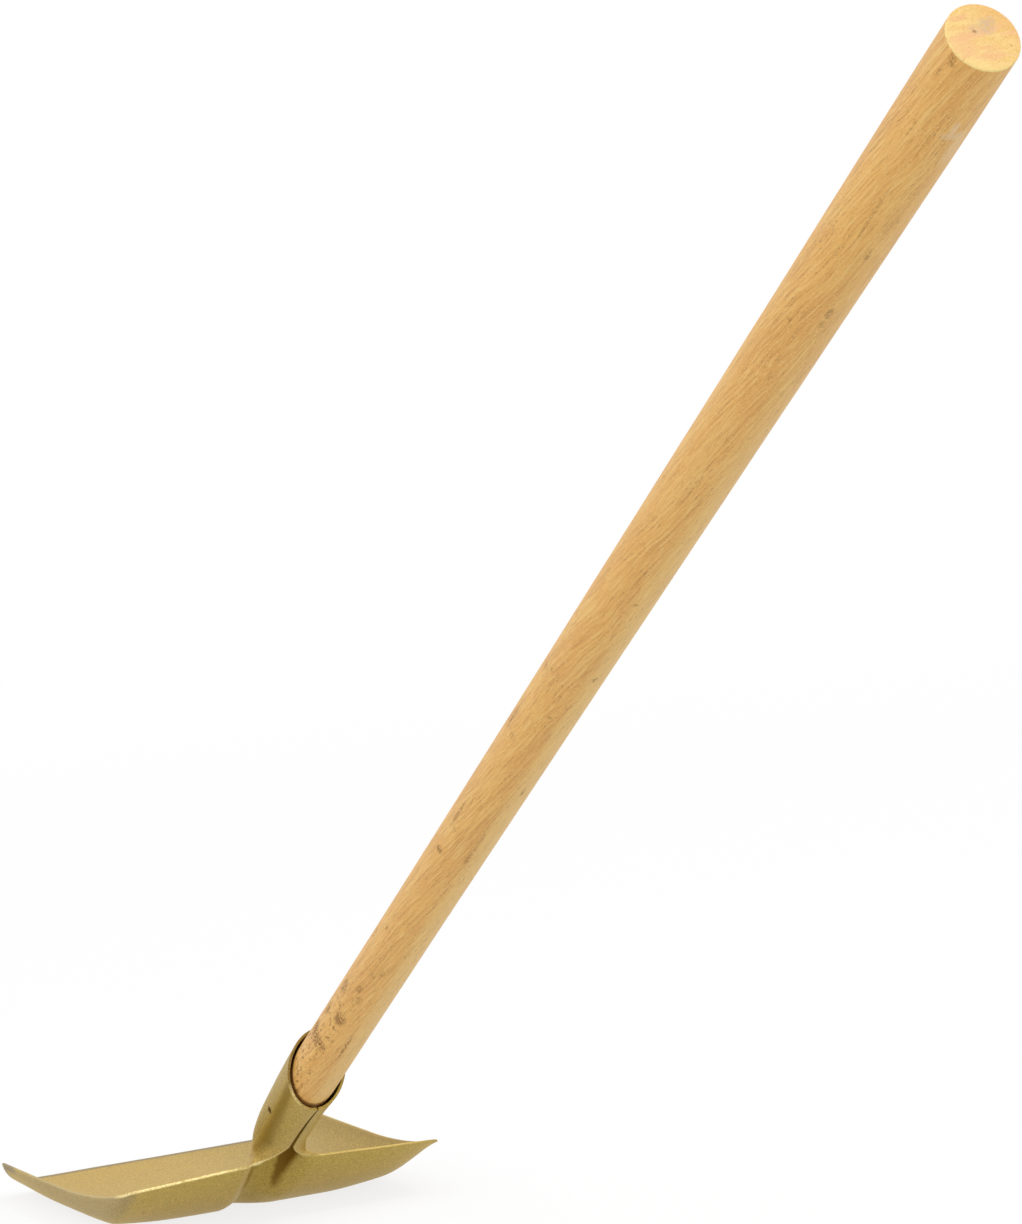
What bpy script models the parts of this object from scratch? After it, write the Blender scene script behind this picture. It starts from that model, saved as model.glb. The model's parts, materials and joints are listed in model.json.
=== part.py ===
"""Square-mouth scoop shovel: one pressed steel head with a rolled open socket,
a round wooden handle that seats in the socket, and the nail that holds it there.

The shovel lies pan up on the flat of the pan's floor. X is across the pan, +Y points at the
cutting edge and +Z is up. Heights and lengths are measured from the shoulder line, where the
back wall's top edge meets the socket, and an empty moves everything so that the origin lies
in the middle of the flat underside.
"""
import math

import bmesh
import bpy
from mathutils import Matrix, Vector

MM = 0.001

CLEARANCE = 0.35                # between pieces that touch

# Sheet and pan
SHEET = 1.5                     # thickness of the pressed steel
PAN_REAR_WIDTH = 207.0          # across the rear corners
PAN_FRONT_WIDTH = 211.5         # across the front tips
PAN_LENGTH = 250.0              # shoulder line to cutting edge
CORNER_RADIUS = 6.0             # rear corners, seen from above
LEFT_CORNER_BLEND = 2.1         # 1 for a soft corner between back and side wall, 2 for a tight one
RIGHT_CORNER_BLEND = 1.35       # the right corner is pressed softer
SHOULDER_HEIGHT = 36.0          # back wall's top edge beside the socket
REAR_CORNER_HEIGHT = 32.0       # back wall's top edge at the corners
SIDE_HEIGHT = 20.5              # side wall's top edge in front of its fall
SIDE_FALL_LENGTH = 130.0        # how far the side's top edge falls from the corner
BACK_WALL_RUN = 77.5            # shoulder line to the foot of the back wall
SIDE_WALL_RUN = 13.5            # side wall's top edge to its foot, in front of the fall
LEFT_CORNER_RUN = 27.0          # the same at the rear corners, where the foot swings in
RIGHT_CORNER_RUN = 45.0
SIDE_WALL_SWEEP = math.radians(80)
PAN_SKEW = math.radians(-2.84)  # the pan is pressed slightly out of line with the socket
PAN_SHIFT = -1.4
FLAT_HALF_WIDTH = 40.0          # flat of the floor, each side of the middle
FLAT_LENGTH = 35.0              # flat of the floor, from the crown's end to where it starts to rise
FRONT_DISH = 7.0                # rise of the floor at the cutting edge
LEFT_DISH = 5.5                 # and at its sides
RIGHT_DISH = 9.5

# Socket, rolled from the same sheet round the handle's axis
LIFT = math.radians(30.8)       # angle of the handle above the floor
AXIS_HEIGHT = 58.1              # of the handle's axis over the shoulder line
SOCKET_RADIUS = 17.5            # outside
MOUTH_FLARE = 1.3               # extra radius at the mouth
MOUTH_MIDDLE = 84.0             # along the axis from the shoulder line
MOUTH_RAKE = 18.0               # the mouth is cut aslant by this much each way
ROUND_END = 46.0                # where the socket's front starts to flatten
FLATTENING = 6.4                # how far the front has come down where the seam opens
SEAM_END = 10.0                 # where the seam opens into the two flanges
MOUTH_GAP = 0.8                 # between the rolled edges at the mouth
SEAM_GAP = 2.8                  # and where the seam opens
FLANGE_FLARE = 4.5              # from the socket's side out to the flange's foot
FLANGE_CORNER = 12.0            # how soon the edges turn out of the seam into the flanges
SEAM_RAKE = 2.0                 # the same where the seam opens
ROUND_END_RAKE = 5.0            # and where the flattening starts
ROUND_END_FLATTENING = 0.5
NECK_WIDTH = 0.93               # half width of the socket over the shoulder line, by its radius
NECK_HEIGHT = 0.45              # of its widest place, from the shoulder to the handle's axis
NECK_CREST = 0.5                # reach of the curve over its front, by its half width
NECK_FORE = 0.25                # how far its sides lag behind the front
NECK_RISE = 0.48                # reach of its sides upwards
NECK_FALL = 0.28                # and downwards
FLANGE_RUN = 0.2                # reach of the flange over its foot, by the foot's distance
FLANGE_DROP = 0.05

# Crown: the socket's front, carried down the back wall until it fades into the floor, with a
# crease under it. Its flank stands where each side of its section turns from hollow to round.
CROWN_TURN = 17.0               # past the shoulder line along the axis, where it turns steep
CROWN_TURN_DEPTH = 4.3          # the front line's height over the axis there
CROWN_RISE = 14.0               # over the pan, half way down the back wall
CROWN_LEFT_FOOT = 27.0          # crown's middle line to its feet there
CROWN_RIGHT_FOOT = 15.0
CROWN_LEFT_NARROWING = 0.85     # share of that where the crown ends
CROWN_RIGHT_NARROWING = 0.5
CROWN_START = 0.48              # share of the back wall's run where CROWN_RISE is measured
CREST_REACH = 0.18              # share of the foot over which the crest stays level
FLANK = 0.45                    # share of the foot and of the rise where the flank is
FLANK_REACH = 0.25              # share of the rise that its straight part takes up each way
FLANK_SLOPE = 0.6               # how much of that reach is outwards
FOOT_REACH = 0.2                # share of the foot over which it runs out on the pan
CROWN_LEAN = 15.0               # the crown bends to the left by this at the back wall's foot
CROWN_FADE = 27.5               # from the back wall's foot to where the crown ends

# Nail and its two holes
NAIL_DIAMETER = 3.6
NAIL_LENGTH = 22.0
NAIL_POINT = 5.0
NAIL_HEAD_DIAMETER = 8.0
NAIL_HEAD_HEIGHT = 1.3
NAIL_HEAD_FLAT = 0.55           # share of the head's radius that is flat on top
NAIL_HEAD_SHOULDER = 0.9        # and where its rounding turns down
NAIL_HEAD_RIM = 0.4             # share of the head's height that its rim stands
NAIL_TIP = 0.15                 # share of the shank's radius left at the point
NAIL_PLAY = 0.4                 # between the nail and the rim of its hole in the socket
HOLE_ALONG = 35.0
HOLE_ANGLE = math.radians(96)   # round the socket from its front line

# Handle, with its taper's start measured along the axis from the shoulder line
HANDLE_LENGTH = 1169.0
HANDLE_TOP_DIAMETER = 36.5
HANDLE_TAPER_START = 280.0      # where the handle starts to grow thicker
HANDLE_GRIP = 69.0              # upper end, which keeps its diameter
HANDLE_SWELL = 1.3              # the taper gains a little faster towards the top
HANDLE_EDGE = 1.6               # rounding of the upper end's rim
POINT_ROOM = 4.0                # between the lower end and the flattened front
POINT_TAPER = 12.0              # of the lower end's taper that lies in the round socket

# Faces
STRIP_COLUMNS = 14              # socket and crown, each side of the middle
TUBE_ROWS = 6
OPENING_ROWS = 7
CROWN_ROWS = 5
CROWN_STEPS = 4
FADE_ROWS = 3
FLOOR_ROWS = 6
WALL_COLUMNS = 7
FLOOR_COLUMNS = 6
TAPER_STEPS = 5
EDGE_STEPS = 3

# Middle of the sheet in the socket, and the feet of the flanges
SHEET_RADIUS = SOCKET_RADIUS - SHEET / 2
FLANGE_FOOT = SOCKET_RADIUS + FLANGE_FLARE

# The handle fills the socket, starts where the seam opens and is pointed to pass the flattening.
HANDLE_START = SEAM_END
HANDLE_LOWER_RADIUS = SOCKET_RADIUS - SHEET - CLEARANCE
HANDLE_POINT_RADIUS = HANDLE_LOWER_RADIUS - FLATTENING - POINT_ROOM
HANDLE_POINT_END = ROUND_END + POINT_TAPER
HANDLE_TAPER_END = HANDLE_START + HANDLE_LENGTH - HANDLE_GRIP

# The origin is the middle of the flat underside.
FLAT_START = BACK_WALL_RUN + CROWN_FADE
FLAT_END = FLAT_START + FLAT_LENGTH
ORIGIN_Y = (FLAT_START + FLAT_END) / 2

QUARTER = 0.5523                # handle that makes a cubic curve a quarter circle

ALONG = Vector((0.0, -math.cos(LIFT), math.sin(LIFT)))
FRONT = Vector((0.0, math.sin(LIFT), math.cos(LIFT)))
ACROSS = Vector((1.0, 0.0, 0.0))
AXIS_FOOT = Vector((0.0, 0.0, AXIS_HEIGHT))


def blend(a, b, share):
    return a + (b - a) * share


def smooth(share):
    share = min(max(share, 0.0), 1.0)
    return share * share * (3 - 2 * share)


def axis_point(along, front=0.0, across=0.0):
    """A point by its place along the handle's axis and its offsets from it."""
    return AXIS_FOOT + ALONG * along + FRONT * front + ACROSS * across


def half_width(y):
    """From the middle to the side wall's top edge."""
    return blend(PAN_REAR_WIDTH, PAN_FRONT_WIDTH, y / PAN_LENGTH) / 2


def rear_share(y):
    """From 1 at the rear corner to 0 where the side wall's fall ends, in a curve."""
    return max(0.0, 1 - y / SIDE_FALL_LENGTH)**2


def side_top(y):
    """Height of the side wall's top edge, which falls from the rear corner."""
    return blend(SIDE_HEIGHT, REAR_CORNER_HEIGHT, rear_share(y))


def side_run(x, y):
    """From the side wall's top edge in to its foot, on the side where x is."""
    corner = RIGHT_CORNER_RUN if x > 0 else LEFT_CORNER_RUN
    return blend(SIDE_WALL_RUN, corner, rear_share(y))


def floor_height(x, y):
    """The floor is flat in its middle and dished towards the sides and the cutting edge."""
    out = max(0.0, abs(x) - FLAT_HALF_WIDTH) / (PAN_FRONT_WIDTH / 2 - FLAT_HALF_WIDTH)
    forward = max(0.0, y - FLAT_END) / (PAN_LENGTH - FLAT_END)
    side_dish = RIGHT_DISH if x > 0 else LEFT_DISH
    return blend(side_dish * min(out, 1.0)**2, FRONT_DISH, min(forward, 1.0)**2)


def back_height(x, y):
    """Height of the back wall over the floor: a hollow sweep down from the shoulder line."""
    out = (abs(x) - FLANGE_FOOT) / (PAN_REAR_WIDTH / 2 - FLANGE_FOOT)
    top = blend(SHOULDER_HEIGHT, REAR_CORNER_HEIGHT, out) - floor_height(x, 0.0)
    return top * max(0.0, 1 - y / BACK_WALL_RUN)**2


def wall_share(x, y):
    """The side wall's rise, from 0 at its foot to 1 at its top edge, round the bend."""
    run = max(0.0, abs(x) - half_width(y) + side_run(x, y)) / side_run(x, y)
    sweep = math.asin(min(run, 1.0) * math.sin(SIDE_WALL_SWEEP))
    return (1 - math.cos(sweep)) / (1 - math.cos(SIDE_WALL_SWEEP))


def pan_height(x, y):
    """Middle of the sheet in the pan, where back wall and side wall run into each other."""
    edge = math.copysign(half_width(y), x)
    power = RIGHT_CORNER_BLEND if x > 0 else LEFT_CORNER_BLEND
    full = side_top(y) - floor_height(edge, y)
    side = max(0.0, full**power - back_height(edge, y)**power)**(1 / power) * wall_share(x, y)
    rise = (back_height(x, y)**power + side**power)**(1 / power)
    return SHEET / 2 + floor_height(x, y) + rise


def skewed(point, share):
    """Turns and shifts a point of the pan out of the socket's line."""
    turned = Matrix.Rotation(PAN_SKEW, 3, 'Z') @ point + ACROSS * PAN_SHIFT
    return point.lerp(turned, share)


class Section:
    """Half of a cross-section of the socket or the crown: front line, side and edge.

    Each is a point, with the handles of the two curves that join them.
    """

    def __init__(self, front, front_reach, side, side_rise, side_fall, edge, edge_reach):
        self.values = [front, ACROSS * front_reach, side, side_rise, side_fall, edge, edge_reach]
        self.edge = edge

    def point(self, share):
        """The point at a share from 0 on the front line to 1 on the edge."""
        front, front_reach, side, rise, fall, edge, edge_reach = self.values
        if share <= 0.5:
            corners = (front, front + front_reach, side + rise, side)
            share = share * 2
        else:
            corners = (side, side + fall, edge + edge_reach, edge)
            share = share * 2 - 1
        rest = 1 - share
        weights = (rest**3, 3 * rest**2 * share, 3 * rest * share**2, share**3)
        total = Vector((0.0, 0.0, 0.0))
        for corner, weight in zip(corners, weights):
            total += corner * weight
        return total


def between(before, start, end, after, share):
    """The section on a smooth curve through four neighbouring sections."""
    values = []
    for p0, p1, p2, p3 in zip(before.values, start.values, end.values, after.values):
        bend = 2 * p0 - 5 * p1 + 4 * p2 - p3
        twist = 3 * p1 - p0 - 3 * p2 + p3
        values.append(p1 + (p2 - p0 + (bend + twist * share) * share) * (share / 2))
    values[1] = values[1].x
    return Section(*values)


def round_section(along, radius, flattening, rake, gap):
    """A section of the rolled socket, cut aslant by its rake along the axis."""
    up = FRONT + ALONG * (rake / radius)
    middle = axis_point(along)
    reach = QUARTER * radius
    seam = ACROSS * (gap / 2)
    front = radius - flattening
    return Section(middle + up * front, reach,
                   middle + ACROSS * radius, up * (QUARTER * front), up * -reach,
                   middle - up * radius + seam, ACROSS * reach - seam)


def shoulder_section():
    """The section where the opened socket stands on the shoulder line."""
    front = axis_point(-CROWN_TURN, CROWN_TURN_DEPTH)
    height = blend(SHOULDER_HEIGHT, AXIS_HEIGHT, NECK_HEIGHT)
    edge = Vector((FLANGE_FOOT, 0.0, pan_height(FLANGE_FOOT, 0.0)))
    width = SHEET_RADIUS * NECK_WIDTH
    return Section(front, width * NECK_CREST, Vector((width, front.y * NECK_FORE, height)),
                   FRONT * (width * NECK_RISE), FRONT * (width * -NECK_FALL),
                   edge, Vector((-FLANGE_RUN, 0.0, FLANGE_DROP)) * FLANGE_FOOT)


def crown_section(y, rise, foot):
    """A section of the crown, which carries the socket's front down into the pan.

    Its middle stands above the pan by the rise, and its feet are as far out as the foot.
    """
    edge = Vector((foot, y, pan_height(foot, y)))
    front = Vector((0.0, y, pan_height(0.0, y) + rise))
    flank = Vector((foot * FLANK, y, pan_height(foot, y) + rise * FLANK))
    lean = Vector((foot * FLANK_REACH * FLANK_SLOPE, 0.0, -rise * FLANK_REACH))
    return Section(front, foot * CREST_REACH, flank, -lean, lean, edge, ACROSS * (-foot * FOOT_REACH))


def strip_sections(side):
    """One side's half sections from the mouth to the flat of the floor.

    Each comes with the rows up to the next one and its share of the pan's skew.
    """
    foot, narrowing = CROWN_LEFT_FOOT, CROWN_LEFT_NARROWING
    if side > 0:
        foot, narrowing = CROWN_RIGHT_FOOT, CROWN_RIGHT_NARROWING
    mouth = SHEET_RADIUS + MOUTH_FLARE
    stations = [
        (round_section(MOUTH_MIDDLE, mouth, 0.0, MOUTH_RAKE, MOUTH_GAP), TUBE_ROWS, 0.0),
        (round_section(ROUND_END, SHEET_RADIUS, ROUND_END_FLATTENING, ROUND_END_RAKE,
                       (MOUTH_GAP + SEAM_GAP) / 2), TUBE_ROWS, 0.0),
        (round_section(SEAM_END, SHEET_RADIUS, FLATTENING, SEAM_RAKE, SEAM_GAP), OPENING_ROWS, 0.0),
        (shoulder_section(), CROWN_ROWS, 1.0),
    ]
    for step in range(CROWN_STEPS + 1):
        share = step / CROWN_STEPS
        y = blend(BACK_WALL_RUN * CROWN_START, FLAT_START, share)
        width = foot * blend(1.0, narrowing, share)
        stations.append((crown_section(y, CROWN_RISE * (1 - share)**2, width), FADE_ROWS, 1.0))
    return stations


def flange_edge(start, end, share):
    """The rim of a flange, from where the seam opens out to its foot on the shoulder line."""
    leaving = start + ALONG * (-FLANGE_CORNER / 3)
    arriving = end - ACROSS * (end.x / 2)
    rest = 1 - share
    return (start * rest**3 + leaving * (3 * rest**2 * share) + arriving * (3 * rest * share**2)
            + end * share**3)


def strip_rows(side):
    """Half rows of points down one side of the strip, as lists from the front line to the edge.

    Each comes with its share of the skew and whether the pan's wings join it.
    """
    stations = strip_sections(side)
    half_rows = []
    for index, (section, rows, turn) in enumerate(stations[:-1]):
        before = stations[max(index - 1, 0)][0]
        following, spare, next_turn = stations[index + 1]
        after = stations[min(index + 2, len(stations) - 1)][0]
        in_pan = turn == 1.0
        for step in range(rows):
            share = step / rows
            current = between(before, section, following, after, share)
            if in_pan:
                current.edge.z = pan_height(current.edge.x, current.edge.y)
            elif next_turn == 1.0:
                current.edge.xyz = flange_edge(section.edge, following.edge, share)
            else:
                current.edge.x = blend(section.edge.x, following.edge.x, share)
            points = [current.point(column / STRIP_COLUMNS) for column in range(STRIP_COLUMNS + 1)]
            half_rows.append((points, smooth(blend(turn, next_turn, share)), in_pan))
    foot = stations[-1][0].edge.x
    for step in range(FLOOR_ROWS + 1):
        y = blend(FLAT_START, PAN_LENGTH, step / FLOOR_ROWS)
        places = [foot * column / STRIP_COLUMNS for column in range(STRIP_COLUMNS + 1)]
        half_rows.append(([Vector((x, y, pan_height(x, y))) for x in places], 1.0, True))
    return half_rows


def leaned(point, foot):
    """Bends a point of the crown to the left and leaves the crown's feet where they are."""
    rise = smooth(point.y / BACK_WALL_RUN) * (1 - smooth((point.y - BACK_WALL_RUN) / CROWN_FADE))
    shift = CROWN_LEAN * rise * max(0.0, 1 - abs(point.x) / foot)
    return Vector((point.x - shift, point.y, point.z))


def wing_row(edge, side):
    """Points from the strip's edge out to one side wall's top edge, in one row across."""
    run = side_run(side, edge.y)
    foot = half_width(edge.y) - run
    places = [blend(edge.x, foot, column / FLOOR_COLUMNS) for column in range(1, FLOOR_COLUMNS + 1)]
    for column in range(1, WALL_COLUMNS + 1):
        sweep = SIDE_WALL_SWEEP * column / WALL_COLUMNS
        places.append(foot + run * math.sin(sweep) / math.sin(SIDE_WALL_SWEEP))
    points = []
    for x in places:
        round_start = PAN_REAR_WIDTH / 2 - CORNER_RADIUS
        into = min(max(0.0, x - round_start), CORNER_RADIUS)
        pull = CORNER_RADIUS - math.sqrt(CORNER_RADIUS**2 - into**2)
        y = edge.y + pull * max(0.0, 1 - edge.y / BACK_WALL_RUN)
        points.append(Vector((x * side, y, pan_height(x * side, y))))
    return points


def sheet_mesh():
    """The pressed sheet's middle surface: the strip down the middle and a wing on each side."""
    mesh = bmesh.new()
    rows = []
    for left_half, right_half in zip(strip_rows(-1), strip_rows(1)):
        left = [Vector((-point.x, point.y, point.z)) for point in left_half[0]]
        right, turn, in_pan = right_half
        if in_pan:
            left_edge, right_edge = left_half[0][-1], right[-1]
            left = [leaned(point, left_edge.x) for point in left] + wing_row(left_edge, -1)
            right = [leaned(point, right_edge.x) for point in right] + wing_row(right_edge, 1)
        points = left[:0:-1] + right
        rows.append([mesh.verts.new(skewed(point, turn) * MM) for point in points])
    for upper, lower in zip(rows, rows[1:]):
        inset = (len(lower) - len(upper)) // 2
        for column in range(len(upper) - 1):
            below = column + inset
            mesh.faces.new((upper[column], upper[column + 1], lower[below + 1], lower[below]))
    return mesh


def new_material(name, colour, roughness, metallic):
    material = bpy.data.materials.new(name)
    material.use_nodes = True
    shader = material.node_tree.nodes['Principled BSDF']
    shader.inputs['Base Color'].default_value = (*colour, 1.0)
    shader.inputs['Roughness'].default_value = roughness
    shader.inputs['Metallic'].default_value = metallic
    return material


def new_object(name, mesh, collection, parent, material=None):
    data = bpy.data.meshes.new(name)
    mesh.normal_update()
    mesh.to_mesh(data)
    mesh.free()
    data.shade_smooth()
    thing = bpy.data.objects.new(name, data)
    thing.parent = parent
    if material:
        data.materials.append(material)
    collection.objects.link(thing)
    return thing


def turned(name, profile, collection, parent, steps, material=None):
    """A profile of (radius, height) pairs from the top down, turned round its own Z."""
    mesh = bmesh.new()
    verts = [mesh.verts.new((radius * MM, 0.0, height * MM)) for radius, height in profile]
    for start, end in zip(verts, verts[1:]):
        mesh.edges.new((start, end))
    thing = new_object(name, mesh, collection, parent, material)
    screw = thing.modifiers.new('Turn', 'SCREW')
    screw.steps = steps
    screw.render_steps = steps
    screw.use_merge_vertices = True
    screw.merge_threshold = 0.00001
    screw.use_smooth_shade = True
    return thing


def stand(thing, place, direction):
    """Places an object and turns its own Z to a direction."""
    thing.location = place * MM
    thing.rotation_mode = 'QUATERNION'
    thing.rotation_quaternion = direction.to_track_quat('Z', 'Y')


def cut(thing, cutter):
    boolean = thing.modifiers.new('Cut ' + cutter.name, 'BOOLEAN')
    boolean.operation = 'DIFFERENCE'
    boolean.solver = 'EXACT'
    boolean.object = cutter


def hole_direction(side):
    """Outward through the socket's wall at the hole on one side."""
    return ACROSS * (side * math.sin(HOLE_ANGLE)) + FRONT * math.cos(HOLE_ANGLE)


def make_cutter(name, radius, inner, outer, side, collection, parent):
    """A round cutter across the socket, between two distances from its axis."""
    profile = [(0.0, outer), (radius, outer), (radius, inner), (0.0, inner)]
    cutter = turned(name, profile, collection, parent, 24)
    stand(cutter, axis_point(HOLE_ALONG), hole_direction(side))
    cutter.hide_render = True
    cutter.display_type = 'WIRE'
    return cutter


def make_head(collection, cutters, parent):
    steel = new_material('bronze paint', (0.42, 0.31, 0.13), 0.45, 0.6)
    head = new_object('shovel_head', sheet_mesh(), collection, parent, steel)
    shell = head.modifiers.new('Sheet', 'SOLIDIFY')
    shell.thickness = SHEET * MM
    shell.offset = 0.0
    shell.use_even_offset = True
    shell.use_quality_normals = True
    for side, label in ((-1, 'left'), (1, 'right')):
        cutter = make_cutter('socket hole ' + label, NAIL_DIAMETER / 2 + NAIL_PLAY,
                             SOCKET_RADIUS - 2 * SHEET, SOCKET_RADIUS + SHEET, side, cutters, parent)
        cut(head, cutter)
    return head


def handle_profile():
    """The handle's outline as (radius, height over its lower end), from the top down."""
    top = HANDLE_TOP_DIAMETER / 2
    profile = [(0.0, HANDLE_LENGTH)]
    for step in range(EDGE_STEPS + 1):
        angle = math.radians(90 * step / EDGE_STEPS)
        profile.append((top - HANDLE_EDGE * (1 - math.sin(angle)),
                        HANDLE_LENGTH - HANDLE_EDGE * (1 - math.cos(angle))))
    for step in range(TAPER_STEPS, -1, -1):
        share = step / TAPER_STEPS
        along = blend(HANDLE_TAPER_START, HANDLE_TAPER_END, share)
        profile.append((blend(HANDLE_LOWER_RADIUS, top, share**HANDLE_SWELL), along - HANDLE_START))
    profile.append((HANDLE_LOWER_RADIUS, HANDLE_POINT_END - HANDLE_START))
    profile += [(HANDLE_POINT_RADIUS, 0.0), (0.0, 0.0)]
    return profile


def make_handle(collection, cutters, parent):
    wood = new_material('bare hardwood', (0.62, 0.42, 0.2), 0.6, 0.0)
    handle = turned('handle', handle_profile(), collection, parent, 48, wood)
    stand(handle, axis_point(HANDLE_START), ALONG)
    pilot = make_cutter('nail hole', NAIL_DIAMETER / 2 + CLEARANCE,
                        SOCKET_RADIUS - NAIL_LENGTH - CLEARANCE, SOCKET_RADIUS, 1, cutters, parent)
    cut(handle, pilot)
    return handle


def make_nail(collection, parent):
    iron = new_material('nail iron', (0.25, 0.23, 0.2), 0.5, 0.8)
    shank = NAIL_DIAMETER / 2
    head = NAIL_HEAD_DIAMETER / 2
    base = SOCKET_RADIUS + CLEARANCE
    top = base + NAIL_HEAD_HEIGHT
    tip = SOCKET_RADIUS - NAIL_LENGTH
    rim = base + NAIL_HEAD_HEIGHT * NAIL_HEAD_RIM
    profile = [(0.0, top), (head * NAIL_HEAD_FLAT, top),
               (head * NAIL_HEAD_SHOULDER, (top + rim) / 2), (head, rim), (head, base),
               (shank, base), (shank, tip + NAIL_POINT), (shank * NAIL_TIP, tip), (0.0, tip)]
    nail = turned('fixing_nail', profile, collection, parent, 20, iron)
    stand(nail, axis_point(HOLE_ALONG), hole_direction(1))
    return nail


def main():
    for thing in list(bpy.data.objects):
        bpy.data.objects.remove(thing)
    shovel = bpy.data.collections.new('shovel')
    cutters = bpy.data.collections.new('cutters')
    for collection in (shovel, cutters):
        bpy.context.scene.collection.children.link(collection)
    shoulder = bpy.data.objects.new('shoulder_line', None)
    shoulder.location = (0.0, -ORIGIN_Y * MM, 0.0)
    shovel.objects.link(shoulder)
    make_head(shovel, cutters, shoulder)
    make_handle(shovel, cutters, shoulder)
    make_nail(shovel, shoulder)


main()
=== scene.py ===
"""Looks for a square-mouth scoop shovel: a pressed, bronze-painted steel head with a rolled
socket, a turned hardwood handle and the nail that holds them together.

Everything is in metres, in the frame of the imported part: the pan lies up on z = 0, +Y points
at the cutting edge and X is across. Shapes of the head are measured from the shoulder line,
where the back wall's top edge meets the socket.
"""
import json
import math

import bmesh
import bpy
from bpy.props import FloatProperty, FloatVectorProperty, IntProperty, PointerProperty
from bpy.types import Operator, Panel, PropertyGroup
from mathutils import Matrix, Vector, noise
from mathutils.kdtree import KDTree

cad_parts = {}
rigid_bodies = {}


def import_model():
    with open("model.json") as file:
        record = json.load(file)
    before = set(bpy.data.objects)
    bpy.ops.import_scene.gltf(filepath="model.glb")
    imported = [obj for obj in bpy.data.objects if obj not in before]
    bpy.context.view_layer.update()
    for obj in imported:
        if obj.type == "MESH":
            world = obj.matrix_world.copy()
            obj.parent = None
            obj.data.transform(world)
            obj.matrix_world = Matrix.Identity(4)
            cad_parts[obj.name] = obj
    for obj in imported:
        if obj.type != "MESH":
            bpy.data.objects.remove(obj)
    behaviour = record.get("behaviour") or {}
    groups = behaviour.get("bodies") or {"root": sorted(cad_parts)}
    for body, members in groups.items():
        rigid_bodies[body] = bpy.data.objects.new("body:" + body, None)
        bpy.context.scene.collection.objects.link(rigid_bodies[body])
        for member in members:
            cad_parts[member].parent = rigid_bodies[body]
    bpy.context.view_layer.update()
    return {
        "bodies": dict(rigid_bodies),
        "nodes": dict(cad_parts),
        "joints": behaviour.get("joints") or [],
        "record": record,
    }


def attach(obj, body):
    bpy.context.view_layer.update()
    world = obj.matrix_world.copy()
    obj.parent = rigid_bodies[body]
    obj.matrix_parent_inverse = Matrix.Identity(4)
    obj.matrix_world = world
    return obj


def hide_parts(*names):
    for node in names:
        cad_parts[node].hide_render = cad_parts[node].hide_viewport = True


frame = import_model()

bl_info = {
    "name": "Scoop Shovel",
    "version": (1, 0, 0),
    "blender": (4, 5, 0),
    "location": "3D View > Sidebar > Shovel",
    "description": "Pressed steel scoop shovel with a wooden handle, in a plain pale studio",
    "category": "Add Mesh",
}

ACROSS = Vector((1.0, 0.0, 0.0))
QUARTER = 0.5523                # arms of a quarter circle drawn as a cubic curve, by its radius
WORN_SIDE = (-0.7304, -0.683)   # across and towards the front: the handle's worn side
RIM_REACH = 0.02                # how far from the sheared border its distance is kept
STEEP = math.radians(50)        # faces of the sheet or the handle have an edge over this angle
CREASE = math.radians(40)       # and faces of the rounded head or the nail over this one
SPOT_SIDE = (1.7, 0.5)          # where a spot's soft side starts and ends, in its half sizes


def length(name, description, default):
    return FloatProperty(name=name, description=description, default=default,
                         unit='LENGTH', subtype='DISTANCE', precision=4)


def angle(name, description, degrees):
    return FloatProperty(name=name, description=description, default=math.radians(degrees),
                         unit='ROTATION', subtype='ANGLE')


def share(name, description, default):
    return FloatProperty(name=name, description=description, default=default,
                         subtype='FACTOR', min=0.0, max=1.0)


def number(name, description, default):
    return FloatProperty(name=name, description=description, default=default)


def count(name, description, default):
    return IntProperty(name=name, description=description, default=default, min=1)


def position(name, description, default):
    return FloatVectorProperty(name=name, description=description, default=default, size=3,
                               unit='LENGTH', subtype='TRANSLATION')


def colour(name, description, default):
    return FloatVectorProperty(name=name, description=description, default=default,
                               subtype='COLOR', size=3, min=0.0, max=1.0)


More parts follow.
